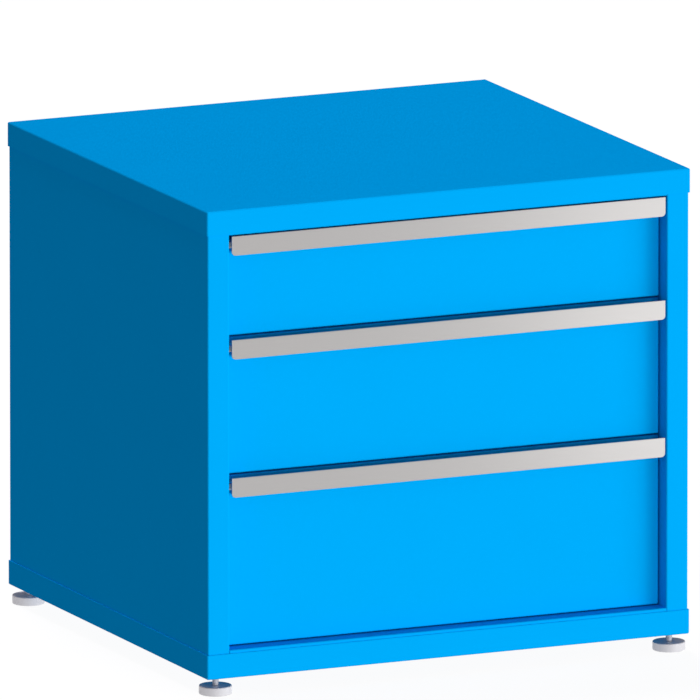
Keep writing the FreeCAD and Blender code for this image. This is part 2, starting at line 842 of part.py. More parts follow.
def make_drawer_screws(drawer):
    screws = []
    level = slide_level(drawer)
    for side in SIDES:
        out = "+" if side == "left" else "-"
        seat_x = sided(side, "box_side - drawer_sheet")
        for index, place in enumerate(rail_screw_places()):
            name = "%s_%s_rail_screw_%d" % (drawer, side, index)
            screws.append(screw(name, "x", out, (seat_x, place, level)))
    for index, (across, height) in enumerate(pan_screw_centres(drawer)):
        seat = (across, "box_front + drawer_sheet", height)
        screws.append(screw("%s_pan_screw_%d" % (drawer, index), "y", "+", seat))
    for index, (across, height) in enumerate(pull_screw_centres(drawer)):
        seat = (across, "front_face - pull_wall", height)
        screws.append(screw("%s_pull_screw_%d" % (drawer, index), "y", "-", seat))
    group(drawer + "_drawer_screws", screws)


# Levelling feet

def make_bushings():
    bushings = []
    for side in SIDES:
        for end in SIDES:
            name = "bushing_%s_%s" % (side, end)
            centre = (sided(side, "foot_x"), sided(end, "foot_y"))
            flange = rod(name + "_flange", "z", (*centre, "panel_floor"),
                         "bushing_flange_radius", "bushing_flange")
            barrel = rod(name + "_barrel", "z", (*centre, "panel_floor"),
                         "bushing_radius", "bushing_height")
            bore = rod(name + "_bore", "z", (*centre, "panel_floor"), "stud_hole", "bushing_height")
            bushings.append(cut(name, fuse(name + "_blank", [flange, barrel]), [bore]))
    group("leveller_bushings", bushings)


def place_foot(body, side, end):
    bind(body, "Placement.Base.x", sided(side, "foot_x"))
    bind(body, "Placement.Base.y", sided(end, "foot_y"))


def turned(body, name, section):
    """Solid of revolution about the body's own Z axis."""
    sketch = outline(body, name, "XZ_Plane", section)
    feature = body.newObject("PartDesign::Revolution", name + "_turn")
    feature.Profile = sketch
    feature.ReferenceAxis = (origin_feature(body, "Z_Axis"), [""])
    feature.Angle = 360
    doc.recompute()


def make_foot(stem, side, end):
    pad_body = new_body(stem + "_foot_pad")
    turned(pad_body, stem + "_pad_section", [
        ("0", "0"),
        ("foot_pad_radius - foot_pad_bevel", "0"),
        ("foot_pad_radius", "foot_pad_bevel"),
        ("foot_pad_radius", "foot_pad_height - foot_pad_bevel"),
        ("foot_pad_radius - foot_pad_bevel", "foot_pad_height"),
        ("stud_radius", "foot_pad_height"),
        ("stud_radius", "foot_pad_height - foot_socket"),
        ("0", "foot_pad_height - foot_socket"),
    ])
    place_foot(pad_body, side, end)
    stud_body = new_body(stem + "_foot_stud")
    turned(stud_body, stem + "_stud_section", [
        ("0", "foot_pad_height - foot_socket"),
        ("stud_radius", "foot_pad_height - foot_socket"),
        ("stud_radius", "stud_reach - stud_bevel"),
        ("stud_radius - stud_bevel", "stud_reach"),
        ("0", "stud_reach"),
    ])
    slot = rectangle(stud_body, stem + "_driver_slot", "XY_Plane", "2 * stud_radius",
                     "-driver_slot / 2", "driver_slot / 2", "stud_reach")
    pocket(stud_body, slot, "driver_slot")
    place_foot(stud_body, side, end)


# Checks and files

def check_everything():
    doc.recompute()
    for item in doc.Objects:
        if "Invalid" in item.State or "Error" in item.State:
            raise RuntimeError("%s: %s" % (item.Label, item.State))
    for item in subparts:
        if item.Shape.isNull() or not item.Shape.isValid() or not item.Shape.Solids:
            raise RuntimeError(item.Label + " has no sound shape")


def write_files():
    os.makedirs("parts", exist_ok=True)
    for item in subparts:
        item.Shape.exportStep(os.path.join("parts", item.Label + ".step"))


make_cover()
make_base_tray()
for name_of_side in SIDES:
    make_side_panel(name_of_side)
make_back_panel()
make_cross_rail("header_rail", "opening_top", "panel_top", "+")
make_cross_rail("bottom_rail", "opening_floor", "panel_floor", "-")
for name_of_side in SIDES:
    for line_name, line_place in UPRIGHT_LINES.items():
        make_upright(name_of_side, "%s_%s_upright" % (name_of_side, line_name), line_place)
make_bushings()
make_back_screws()
make_slide_bolts()
for name_of_drawer in DRAWERS:
    for name_of_side in SIDES:
        make_slide(name_of_drawer, name_of_side)
    make_cages(name_of_drawer, "outer", "outer_ball_line", "outer_race")
    make_cages(name_of_drawer, "inner", "inner_ball_line", "inner_race")
    make_front_pan(name_of_drawer)
    make_pull(name_of_drawer)
    make_drawer_box(name_of_drawer)
    make_drawer_screws(name_of_drawer)
make_foot("front_left", "left", "left")
make_foot("front_right", "right", "left")
make_foot("rear_left", "left", "right")
make_foot("rear_right", "right", "right")
check_everything()
write_files()
print("%d sub-parts written" % len(subparts))
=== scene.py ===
"""Modular drawer cabinet: painted sheet metal, pulls, slides and feet, round its CAD frame."""

import math
from contextlib import contextmanager

import bmesh
import bpy
from bpy.props import FloatProperty, FloatVectorProperty, IntProperty, PointerProperty
from mathutils import Matrix, Vector


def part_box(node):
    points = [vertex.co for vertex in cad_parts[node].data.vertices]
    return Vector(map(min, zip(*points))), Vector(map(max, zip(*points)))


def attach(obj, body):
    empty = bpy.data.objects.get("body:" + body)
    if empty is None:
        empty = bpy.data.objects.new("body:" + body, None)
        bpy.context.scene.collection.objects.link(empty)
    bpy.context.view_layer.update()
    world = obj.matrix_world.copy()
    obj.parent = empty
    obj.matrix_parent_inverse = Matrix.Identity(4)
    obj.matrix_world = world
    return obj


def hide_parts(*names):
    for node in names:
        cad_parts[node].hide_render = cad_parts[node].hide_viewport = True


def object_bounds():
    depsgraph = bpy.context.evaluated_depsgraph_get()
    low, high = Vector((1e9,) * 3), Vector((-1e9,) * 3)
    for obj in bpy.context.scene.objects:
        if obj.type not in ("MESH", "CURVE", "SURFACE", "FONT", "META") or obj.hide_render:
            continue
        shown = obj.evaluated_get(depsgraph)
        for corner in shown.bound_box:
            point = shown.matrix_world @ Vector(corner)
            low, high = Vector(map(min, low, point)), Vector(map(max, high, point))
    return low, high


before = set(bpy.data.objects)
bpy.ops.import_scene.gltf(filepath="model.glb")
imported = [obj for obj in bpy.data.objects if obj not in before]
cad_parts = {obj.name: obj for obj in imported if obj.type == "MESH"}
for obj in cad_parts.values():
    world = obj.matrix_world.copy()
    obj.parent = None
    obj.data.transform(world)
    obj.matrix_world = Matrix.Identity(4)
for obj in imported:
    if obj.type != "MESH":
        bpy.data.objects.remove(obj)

bl_info = {
    "name": "Modular Drawer Cabinet",
    "version": (1, 0, 0),
    "blender": (4, 5, 0),
    "location": "View3D > Sidebar > Cabinet",
    "description": "Models a sheet steel drawer cabinet around its CAD frame",
    "category": "Object",
}

DRAWERS = ("bottom", "middle", "top")
FEET = ("front_left", "front_right", "rear_left", "rear_right")
CAD_LOW, CAD_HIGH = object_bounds()

# Distance under which two places count as one
SLACK = 0.00002
# How far a cutting tool stands out of what it cuts
OVERRUN = 0.001
# Least angle between two faces that meet at a fold
FOLD = math.radians(50.0)
# Least cosine between a face's normal and the direction it looks in
STRAIGHT = 0.99
# Largest angle that is shaded smooth
SMOOTH = math.radians(35.0)


# Sizes and colours

def length(name, description, default):
    """A distance in metres that a user can change."""
    return FloatProperty(
        name=name, description=description, default=default, min=0.0,
        unit="LENGTH", subtype="DISTANCE", precision=5,
    )


def colour(name, description, default):
    """A colour without transparency."""
    return FloatVectorProperty(
        name=name, description=description, default=default, size=3,
        min=0.0, max=1.0, subtype="COLOR",
    )


def share(name, description, default):
    """A part of a whole."""
    return FloatProperty(
        name=name, description=description, default=default, min=0.0, max=1.0, subtype="FACTOR",
    )


def degrees(name, description, default):
    """An angle, with its default in degrees."""
    return FloatProperty(
        name=name, description=description, default=math.radians(default),
        unit="ROTATION", subtype="ANGLE",
    )


def number(name, description, default):
    """How many there are of a piece."""
    return IntProperty(name=name, description=description, default=default, min=2, max=20)


def place(name, description, default):
    """A place in metres."""
    return FloatVectorProperty(
        name=name, description=description, default=default, size=3,
        unit="LENGTH", subtype="TRANSLATION",
    )


class CABINET_PG_sheet(bpy.types.PropertyGroup):
    """Sheet thicknesses and bends of the housing and the drawers."""

    cover: length("Cover sheet", "Thickness of the cover and the base tray", 0.0019)
    panel: length("Panel sheet", "Thickness of the side panels, back, rails and fronts", 0.0015)
    drawer: length("Drawer sheet", "Thickness of the drawer boxes", 0.0012)
    upright: length("Upright sheet", "Thickness of the slotted uprights", 0.0019)
    inner_bend: length("Inner bend", "Radius on the inside of each fold", 0.0006)
    edge: length("Sheet edge", "Rounding of the cut edges under the paint", 0.00025)
    hem: length("Drawer hem", "Height of the folded hem on a drawer's rim", 0.009)
    post_return: length("Post return", "Depth of the fold behind each front post", 0.040)
    post_lip: length("Post lip", "Width of the lip on the post's return", 0.014)
    rear_flange: length("Rear flange", "Width of the side panel's rear flange", 0.020)
    rail_flange: length("Rail flange", "Height of the flange behind each rail", 0.016)


class CABINET_PG_upright(bpy.types.PropertyGroup):
    """Slotted uprights that carry the slides."""

    width: length("Width", "Width of the slotted web", 0.040)
    flange: length("Flange", "Width of each flange against the side panel", 0.012)
    pitch: length("Slot pitch", "Distance from slot to slot", 0.0253)
    slot_width: length("Slot width", "Width of a slot", 0.0052)
    slot_height: length("Slot height", "Height of a slot", 0.010)


class CABINET_PG_pull(bpy.types.PropertyGroup):
    """Section of the extruded pull."""

    wall: length("Wall", "Thickness of the extrusion", 0.0024)
    drop: length("Drop", "Height of the face above its web", 0.007)
    leg: length("Leg", "Length of the leg down the front", 0.015)
    bead: length("Bead", "Depth of the bead along the lower edge", 0.005)
    corner: length("Corner", "Radius of the lower corners", 0.006)
    edge: length("Edge", "Rounding of the extrusion's edges", 0.0006)


class CABINET_PG_slide(bpy.types.PropertyGroup):
    """Telescopic ball slides."""

    sheet: length("Slide sheet", "Thickness of the rails", 0.0016)
    edge: length("Rail edge", "Rounding of the rails' edges", 0.0003)
    ball: length("Ball radius", "Radius of the balls", 0.00238)
    clearance: length("Race clearance", "Room between a ball and its race", 0.0002)
    race_depth: length("Race depth", "Depth of a race in its flange", 0.0005)
    cage_sheet: length("Cage sheet", "Thickness of a ball cage", 0.0008)
    cage_width: length("Cage width", "Width of a ball cage's strip", 0.0058)
    window_gap: length("Window gap", "Room between a ball and its window", 0.0001)
    hole_gap: length("Hole gap", "Room round a screw in its hole", 0.00015)
    balls: number("Balls", "Balls in each cage", 5)


class CABINET_PG_hardware(bpy.types.PropertyGroup):
    """Screws, bolts, nuts and bushings."""

    screw: length("Screw", "Radius of the screws", 0.00175)
    screw_length: length("Screw length", "Length of a screw under its head", 0.005)
    screw_head: length("Screw head", "Radius of a screw's head", 0.0034)
    bolt: length("Bolt", "Radius of the slide bolts", 0.0024)
    bolt_length: length("Bolt length", "Length of a bolt under its head", 0.008)
    bolt_head: length("Bolt head", "Radius of a bolt's head", 0.0044)
    head_height: length("Head height", "Height of every head", 0.0015)
    head_round: share("Head rounding", "Rounding of a head, as a share of its height", 0.5)
    recess: length("Recess", "Width of a head's cross recess", 0.0009)
    recess_reach: share("Recess reach", "Arm of the recess, as a share of the head's radius", 0.55)
    recess_depth: share("Recess depth", "Depth of the recess, as a share of the head", 0.65)
    nut_width: length("Nut width", "Width of a square nut", 0.009)
    nut_height: length("Nut height", "Thickness of a square nut", 0.0032)
    flange_radius: length("Flange radius", "Radius of a bushing's flange", 0.0115)
    flange_height: length("Flange height", "Thickness of a bushing's flange", 0.003)
    barrel_radius: length("Barrel radius", "Radius of a bushing's barrel", 0.008)
    barrel_height: length("Barrel height", "Height of a bushing", 0.016)
    edge: length("Edge", "Rounding of the edges of nuts and bushings", 0.0004)
    rail_end: length("Rail end", "Distance of a rail's end screws from its ends", 0.070)
    lip: length("Front lip", "Width of the lips behind a drawer's front", 0.016)
    pull_end: length("Pull end", "Distance of a pull's end screws from its ends", 0.060)
    rear_inset: length("Rear inset", "Distance of the back's screws from the cabinet's side", 0.010)
    back_screws: number("Back screws", "Screws down each side of the back panel", 4)
    rail_screws: number("Rail screws", "Screws in each drawer rail", 3)
    pull_screws: number("Pull screws", "Screws in each pull", 5)


class CABINET_PG_foot(bpy.types.PropertyGroup):
    """Levelling feet."""

    bevel: length("Pad bevel", "Rounding of the pad's edges", 0.0015)
    socket: length("Socket", "Depth of the stud in its pad", 0.007)
    collar: length("Collar", "Distance from the stud to the outside of the groove round it", 0.0024)
    rim: length("Rim", "Distance from the pad's edge to the groove underneath", 0.003)
    groove: length("Groove", "Width and depth of both grooves", 0.0006)
    thread_pitch: length("Thread pitch", "Distance from thread to thread", 0.0015875)
    thread_depth: length("Thread depth", "Height of the thread over its core", 0.0009)
    thread_root: length("Thread root", "Depth of the thread's foot in the core", 0.0002)
    thread_foot: share("Thread foot", "Width of the thread's foot, as a share of the pitch", 0.96)
    thread_crest: share("Thread crest", "Width of the crest, as a share of the foot", 0.14)
    plain: length("Plain end", "Length without a thread at the stud's tip", 0.00396875)
    chamfer: length("Chamfer", "Chamfer round the stud's tip", 0.0006)
    slot: length("Driver slot", "Width and depth of the slot in the stud", 0.0016)
    hole_gap: length("Hole gap", "Room round the stud in the tray", 0.00009)


class CABINET_PG_finish(bpy.types.PropertyGroup):
    """Colours of the materials."""

    paint: colour("Paint", "Powder coat of the sheet metal", (0.0, 0.378, 0.862))
    aluminium: colour("Aluminium", "Satin metal of the pulls", (0.560, 0.549, 0.540))
    zinc: colour("Zinc", "Plating of slides, uprights and screws", (0.62, 0.63, 0.65))
    zinc_warm: colour("Warm zinc", "Straw tint in the plating", (0.66, 0.63, 0.56))
    foot: colour("Foot", "Plating of the feet", (0.70, 0.70, 0.73))
    steel: colour("Ball steel", "Hardened steel of the balls", (0.74, 0.74, 0.76))
    cage: colour("Cage", "Steel strip of the ball cages", (0.52, 0.50, 0.44))
    floor: colour("Floor", "Studio floor", (0.97, 0.97, 0.97))


class CABINET_PG_studio(bpy.types.PropertyGroup):
    """Camera and lights."""

    azimuth: degrees("Azimuth", "Turn of the view to the right of the front", -24.267)
    elevation: degrees("Elevation", "Height of the view over the horizon", 11.914)
    frame_width: length("Frame width", "Width that the picture covers at the cabinet", 1.0125)
    aim_right: length("Aim right", "Shift of the aim to the right of the middle", 0.00336)
    aim_up: length("Aim up", "Shift of the aim above the middle", 0.0518)
    lens: FloatProperty(
        name="Lens", description="Focal length in millimetres", default=1700.0, unit="CAMERA",
    )
    sensor: FloatProperty(
        name="Sensor", description="Width of the sensor in millimetres", default=36.0,
        unit="CAMERA",
    )
    floor_size: length("Floor size", "Side of the floor", 60.0)
    fill: share("Fill", "Strength of the even light from all round", 0.26)
    fill_tint: colour("Fill tint", "Colour of the even light", (1.0, 0.94, 1.0))
    floor_glow: share("Floor glow", "Share of the floor's brightness that shadows spare", 0.98)
    floor_shade: share("Floor shade", "Share of the floor's brightness that shadows take", 0.08)
    key: FloatProperty(name="Key", description="Strength of the lights in front", default=1.10)
    key_rise: degrees("Key rise", "Height of the lights in front over the horizon", -1.0)
    spread: degrees("Spread", "Apparent width of each far light", 12.0)
    distance: length("Distance", "Distance of the far lights, which alters only their icons", 4.0)
    overhead: FloatProperty(
        name="Overhead", description="Strength of the light from above and behind", default=1.74,
    )
    overhead_rise: degrees("Overhead rise", "Height of the light from above over the horizon", 68.0)
    overhead_tint: colour("Overhead tint", "Colour of the light from above", (1.0, 0.93, 1.0))
    glint: FloatProperty(
        name="Glint", description="Power of the panel that the pulls mirror", default=1.02,
        unit="POWER",
    )
    glint_place: place("Glint place", "Middle of the panel", (0.68, -0.89, 0.36))
    glint_target: place("Glint target", "Place that the panel faces", (0.42, -0.36, 0.44))
    glint_width: length("Glint width", "Width of the panel", 0.5)
    glint_height: length("Glint height", "Height of the panel", 0.8)


GROUPS = {
    "sheet": CABINET_PG_sheet,
    "upright": CABINET_PG_upright,
    "pull": CABINET_PG_pull,
    "slide": CABINET_PG_slide,
    "hardware": CABINET_PG_hardware,
    "foot": CABINET_PG_foot,
    "finish": CABINET_PG_finish,
    "studio": CABINET_PG_studio,
}


def sizes(group):
    """A group of the values that a user can change."""
    return getattr(bpy.context.scene, "cabinet_" + group)


# Shader graphs

class Value:
    """Output of a shader node. Arithmetic on it adds Math nodes."""

    def __init__(self, graph, socket):
        self.graph = graph
        self.socket = socket

    def math(self, operation, first, second=0.0):
        return self.graph.add("ShaderNodeMath", {"operation": operation}, {0: first, 1: second})

    def __add__(self, other):
        return self.math("ADD", self, other)

    def __radd__(self, other):
        return self.math("ADD", other, self)

    def __sub__(self, other):
        return self.math("SUBTRACT", self, other)

    def __rsub__(self, other):
        return self.math("SUBTRACT", other, self)

    def __mul__(self, other):
        return self.math("MULTIPLY", self, other)

    def __rmul__(self, other):
        return self.math("MULTIPLY", other, self)

    def __pow__(self, other):
        return self.math("POWER", self, other)

    def __rpow__(self, other):
        return self.math("POWER", other, self)

    def __abs__(self):
        return self.math("ABSOLUTE", self)

    def sine(self):
        return self.math("SINE", self)


class Graph:
    """Node tree of a new material or a new world."""

    def __init__(self, name, kind="materials"):
        self.owner = getattr(bpy.data, kind).new(name)
        self.owner.use_nodes = True
        self.nodes = self.owner.node_tree.nodes
        self.links = self.owner.node_tree.links

    def add(self, kind, settings=None, sockets=None, output=0):
        """Any node: its settings first, then the values or links of its sockets."""
        node = self.nodes.new(kind)
        for name, value in (settings or {}).items():
            setattr(node, name, value)
        self.feed(node, sockets or {})
        return Value(self, node.outputs[output])

    def feed(self, node, sockets):
        """Values or links for the sockets of a node that is there."""
        for name, value in sockets.items():
            if isinstance(value, Value):
                self.links.new(value.socket, node.inputs[name])
            else:
                node.inputs[name].default_value = value

    def finish(self, sockets):
        """Feed the material's shader and hand the material over."""
        self.feed(self.nodes["Principled BSDF"], sockets)
        return self.owner

    def split(self, vector):
        """The three numbers of a vector."""
        first = self.add("ShaderNodeSeparateXYZ", None, {"Vector": vector})
        return [Value(self, output) for output in first.socket.node.outputs]

    def stretch(self, scale=(1.0, 1.0, 1.0)):
        """Object coordinates, stretched by a scale."""
        raw = self.add("ShaderNodeTexCoord", output="Object")
        return self.add("ShaderNodeMapping", None, {"Vector": raw, "Scale": scale})

    def noise(self, where, scale, detail=2.0):
        return self.add("ShaderNodeTexNoise", None, {
            "Vector": where, "Scale": scale, "Detail": detail,
        })

    def blend(self, amount, first, second):
        """Colour between two colours."""
        return self.add("ShaderNodeMix", {"data_type": "RGBA"}, {
            "Factor": amount, 6: first, 7: second,
        }, output=2)

    def bump(self, height, distance, strength):
        return self.add("ShaderNodeBump", None, {
            "Height": height, "Distance": distance, "Strength": strength,
        })


def opaque(values, brightness=1.0):
    """A colour for a socket, brighter or darker if asked."""
    return (*[value * brightness for value in values], 1.0)


def powder_coat():
    """Smooth powder coat: a fine orange peel over nearly flat sheet."""
    paint = sizes("finish").paint
    graph = Graph("blue_powder_coat")
    where = graph.stretch()
    cloud = graph.noise(where, 7.0)
    peel = graph.noise(where, 650.0, detail=1.0)
    speck = graph.noise(where, 2600.0, detail=0.0)
    return graph.finish({
        "Base Color": graph.blend(cloud, opaque(paint, 0.985), opaque(paint, 1.015)),
        "Roughness": 0.34 + 0.08 * cloud + 0.05 * speck,
        "Normal": graph.bump(peel, 0.00001, 0.4),
        "Metallic": 0.03,
        "Specular IOR Level": 0.0,
        "Specular Tint": opaque(paint),
    })


def brushed_aluminium():
    """Satin aluminium with fine scratches along its length."""
    metal = sizes("finish").aluminium
    graph = Graph("satin_aluminium")
    long_scratch = graph.noise(graph.stretch((4.0, 1500.0, 1500.0)), 1.0, detail=3.0)
    short_scratch = graph.noise(graph.stretch((30.0, 4200.0, 4200.0)), 1.0)
    scratch = 0.6 * long_scratch + 0.4 * short_scratch
    return graph.finish({
        "Base Color": graph.blend(scratch, opaque(metal, 0.93), opaque(metal, 1.04)),
        "Metallic": 1.0,
        "Roughness": 0.34 + 0.14 * scratch,
        "Normal": graph.bump(scratch, 0.00002, 0.5),
    })


def zinc_plate():
    """Bright zinc plating over rolled steel, with a faint straw tint in places."""
    finish = sizes("finish")
    graph = Graph("zinc_plating")
    tint = graph.noise(graph.stretch(), 38.0, detail=3.0)
    rolled = graph.noise(graph.stretch((900.0, 20.0, 900.0)), 1.0)
    return graph.finish({
        "Base Color": graph.blend(tint, opaque(finish.zinc), opaque(finish.zinc_warm)),
        "Metallic": 1.0,
        "Roughness": 0.28 + 0.14 * tint + 0.06 * rolled,
        "Normal": graph.bump(rolled, 0.000015, 0.4),
    })


# Distance from tool mark to tool mark on a turned foot
TOOL_MARK = 0.0004


def turned_zinc():
    """Plated turned steel. The tool marks run round each foot's own axis."""
    foot_x, foot_y = foot_centre("rear_right")
    graph = Graph("turned_zinc")
    raw = graph.add("ShaderNodeTexCoord", output="Object")
    across, along, up = graph.split(raw)
    radius = ((abs(across) - foot_x) ** 2.0 + (abs(along) - foot_y) ** 2.0) ** 0.5
    marks = ((radius + up) * (2.0 * math.pi / TOOL_MARK)).sine()
    cloud = graph.noise(raw, 120.0)
    plating = sizes("finish").foot
    return graph.finish({
        "Base Color": graph.blend(cloud, opaque(plating, 0.96), opaque(plating, 1.03)),
        "Metallic": 0.4,
        "Roughness": 0.32 + 0.12 * cloud,
        "Normal": graph.bump(marks, 0.000002, 0.3),
    })


def ball_steel():
    """Polished steel of the balls."""
    graph = Graph("ball_steel")
    cloud = graph.noise(graph.stretch(), 300.0)
    steel = sizes("finish").steel
    return graph.finish({
        "Base Color": graph.blend(cloud, opaque(steel, 0.97), opaque(steel, 1.03)),
        "Metallic": 1.0,
        "Roughness": 0.08 + 0.05 * cloud,
    })


def cage_strip():
    """Steel strip, rolled along its length."""
    graph = Graph("cage_strip")
    cloud = graph.noise(graph.stretch((300.0, 12.0, 300.0)), 1.0)
    cage = sizes("finish").cage
    return graph.finish({
        "Base Color": graph.blend(cloud, opaque(cage, 0.94), opaque(cage, 1.05)),
        "Metallic": 1.0,
        "Roughness": 0.36 + 0.10 * cloud,
        "Normal": graph.bump(cloud, 0.00001, 0.4),
    })


def studio_floor():
    """Pale floor that keeps most of its brightness under the cabinet's soft shadow."""
    studio = sizes("studio")
    floor = sizes("finish").floor
    graph = Graph("pale_floor")
    cloud = graph.noise(graph.stretch(), 3.0)
    shade = studio.floor_shade
    return graph.finish({
        "Base Color": graph.blend(cloud, opaque(floor, shade), opaque(floor, shade * 1.02)),
        "Roughness": 1.0,
        "Specular IOR Level": 0.0,
        "Emission Color": opaque(floor),
        "Emission Strength": studio.floor_glow,
    })


MATERIALS = {
    "blue_paint": powder_coat,
    "brushed_aluminium": brushed_aluminium,
    "zinc_steel": zinc_plate,
    "zinc_foot": turned_zinc,
    "ball_steel": ball_steel,
    "cage_strip": cage_strip,
    "floor": studio_floor,
}
made = {}


def material(slot):
    """Material of a slot, made when it is first needed."""
    if slot not in made:
        made[slot] = MATERIALS[slot]()
    return made[slot]


# Selection and edit mode

def take(piece):
    """Make one piece the only selected and the active one."""
    bpy.ops.object.select_all(action="DESELECT")
    piece.select_set(True)
    bpy.context.view_layer.objects.active = piece


@contextmanager
def shaping(piece):
    """Edit mode on one piece, with nothing selected."""
    take(piece)
    bpy.ops.object.mode_set(mode="EDIT")
    bpy.ops.mesh.select_all(action="DESELECT")
    yield
    bpy.ops.object.mode_set(mode="OBJECT")


def middle(part):
    """Middle of a face or an edge."""
    return sum((corner.co for corner in part.verts), Vector()) / len(part.verts)


def pick(kind, test=None):
    """Select just the faces or edges that pass a test, or all of them."""
    bpy.ops.mesh.select_mode(type=kind)
    bpy.ops.mesh.select_all(action="DESELECT")
    mesh = bpy.context.edit_object.data
    shape = bmesh.from_edit_mesh(mesh)
    parts = shape.faces if kind == "FACE" else shape.edges
    found = [part for part in parts if test is None or test(part)]
    for part in found:
        part.select_set(True)
    shape.select_flush_mode()
    bmesh.update_edit_mesh(mesh)
    if not found:
        raise RuntimeError("nothing to shape on " + bpy.context.edit_object.name)


def facing(direction):
    """A test for faces that look in a direction."""
    heading = Vector(direction)
    return lambda face: face.normal.dot(heading) > STRAIGHT


def near(value, target, slack=SLACK):
    """True for two numbers that are as good as the same."""
    return abs(value - target) < slack


def folded(edge):
    """True for an edge where two faces meet at a fold."""
    return len(edge.link_faces) == 2 and edge.calc_face_angle(0.0) > FOLD


def extrude(shift):
    """Extrude what is selected and move it."""
    bpy.ops.mesh.extrude_region_move(TRANSFORM_OT_translate={"value": shift})


def bevel(radius, segments):
    """Round the selected edges."""
    bpy.ops.mesh.bevel(
        offset_type="OFFSET", offset=radius, segments=segments, profile=0.5,
        affect="EDGES", clamp_overlap=False,
    )


def round_folds(sheet, segments=5):
    """Round every fold of a surface that is going to be sheet metal."""
    pick("EDGE", folded)
    bevel(sheet + sizes("sheet").inner_bend, segments)


def open_side(direction):
    """Delete the faces that look in a direction."""
    pick("FACE", facing(direction))
    bpy.ops.mesh.delete(type="FACE")


def slice_at(axis, level, among=None):
    """Cut new edges into the shape, or into some of its faces, along one plane."""
    pick("FACE", among)
    point, normal = Vector(), Vector()
    point[axis] = level
    normal[axis] = 1.0
    bpy.ops.mesh.bisect(plane_co=point, plane_no=normal)


# Starting shapes

def settle(piece, name):
    """Name a new primitive and put its place and size into its mesh."""
    piece.name = name
    piece.data.name = name
    bpy.ops.object.transform_apply(location=True, rotation=True, scale=True)
    return piece


def cube(name, low, high):
    """Cube primitive that fills a box."""
    low, high = Vector(low), Vector(high)
    bpy.ops.object.select_all(action="DESELECT")
    bpy.ops.mesh.primitive_cube_add(size=1.0, location=(low + high) / 2)
    piece = bpy.context.object
    piece.scale = high - low
    return settle(piece, name)


def cylinder(name, centre, radius, low, high, sides=48):
    """Upright cylinder primitive."""
    bpy.ops.object.select_all(action="DESELECT")
    bpy.ops.mesh.primitive_cylinder_add(
        vertices=sides, radius=radius, depth=high - low,
        location=(centre[0], centre[1], (low + high) / 2),
    )
    return settle(bpy.context.object, name)


def lying(name, axis, start, radius, run, sides=24):
    """Cylinder primitive along the X or Y axis, from its start."""
    turn = (0.0, math.pi / 2, 0.0) if axis == 0 else (math.pi / 2, 0.0, 0.0)
    centre = Vector(start)
    centre[axis] += run / 2
    bpy.ops.object.select_all(action="DESELECT")
    bpy.ops.mesh.primitive_cylinder_add(
        vertices=sides, radius=radius, depth=run, location=centre, rotation=turn,
    )
    return settle(bpy.context.object, name)


def strip(name, start, legs, sweep):
    """Folded strip without thickness: a plane for its first leg, extruded along the others."""
    start, first, sweep = Vector(start), Vector(legs[0]), Vector(sweep)
    along, across = first.normalized(), sweep.normalized()
    turn = Matrix((along, across, along.cross(across))).transposed()
    bpy.ops.object.select_all(action="DESELECT")
    bpy.ops.mesh.primitive_plane_add(size=1.0)
    piece = bpy.context.object
    piece.matrix_world = Matrix.LocRotScale(
        start + (first + sweep) / 2, turn, (first.length, sweep.length, 1.0),
    )
    settle(piece, name)
    tip = start + first + sweep / 2
    with shaping(piece):
        pick("EDGE", lambda edge: (middle(edge) - tip).length < SLACK)
        for leg in legs[1:]:
            extrude(leg)
    return piece


def copy_of(piece, name, shift=(0.0, 0.0, 0.0), mirrored=False, turn=(0.0, 0.0, 0.0)):
    """Copy with its own mesh, moved and, if asked, mirrored to the other side or turned."""
    take(piece)
    bpy.ops.object.duplicate(linked=False)
    twin = bpy.context.object
    twin.location = shift
    twin.rotation_euler = turn
    if mirrored:
        twin.scale.x = -1.0
    settle(twin, name)
    if mirrored:
        with shaping(twin):
            pick("FACE")
            bpy.ops.mesh.normals_make_consistent(inside=False)
    return twin


def join(name, pieces):
    """Make one piece of several."""
    take(pieces[0])
    for piece in pieces[1:]:
        piece.select_set(True)
    bpy.ops.object.join()
    joined = bpy.context.object
    joined.name = name
    joined.data.name = name
    return joined


# Modifiers

def modify(piece, kind, **settings):
    """Add a modifier with its settings and apply it."""
    take(piece)
    modifier = piece.modifiers.new(kind.lower(), kind)
    for name, value in settings.items():
        setattr(modifier, name, value)
    bpy.ops.object.modifier_apply(modifier=modifier.name)


def thicken(piece, sheet):
    """Give a folded surface its thickness, inwards."""
    modify(piece, "SOLIDIFY", thickness=sheet, offset=-1.0, use_even_offset=True,
           use_quality_normals=True)


def soften(piece, width, segments=2, angle=40.0):
    """Round the sharp edges a little."""
    modify(piece, "BEVEL", width=width, segments=segments, limit_method="ANGLE",
           angle_limit=math.radians(angle), use_clamp_overlap=True)


def drill(piece, cutters):
    """Cut the shapes of some tools out of a piece and throw the tools away."""
    tool = join("tool", cutters) if len(cutters) > 1 else cutters[0]
    modify(piece, "BOOLEAN", operation="DIFFERENCE", solver="EXACT", object=tool)
    bpy.data.objects.remove(tool)


def dress(piece, body, slot, nodes):
    """Smooth shading, material, body and CAD nodes of a finished piece."""
    take(piece)
    bpy.ops.object.shade_smooth_by_angle(angle=SMOOTH)
    modify(piece, "WEIGHTED_NORMAL", keep_sharp=True)
    if not piece.data.materials:
        piece.data.materials.append(material(slot))
    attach(piece, body)
    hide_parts(*nodes)


def dress_all(finished):
    """Dress pieces that had to stay plain while they were being copied."""
    for piece, body, slot, nodes in finished:
        dress(piece, body, slot, nodes)


# Rows of places

def shared_out(low, high, count):
    """Middles of equal parts of a length."""
    return [low + (high - low) * (index + 0.5) / count for index in range(count)]


def spread(low, high, count):
    """Evenly spaced places, ends included."""
    return [low + (high - low) * index / (count - 1) for index in range(count)]


# Places read from the frame

def span(node):
    """Low and high corner of a CAD node."""
    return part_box(node)


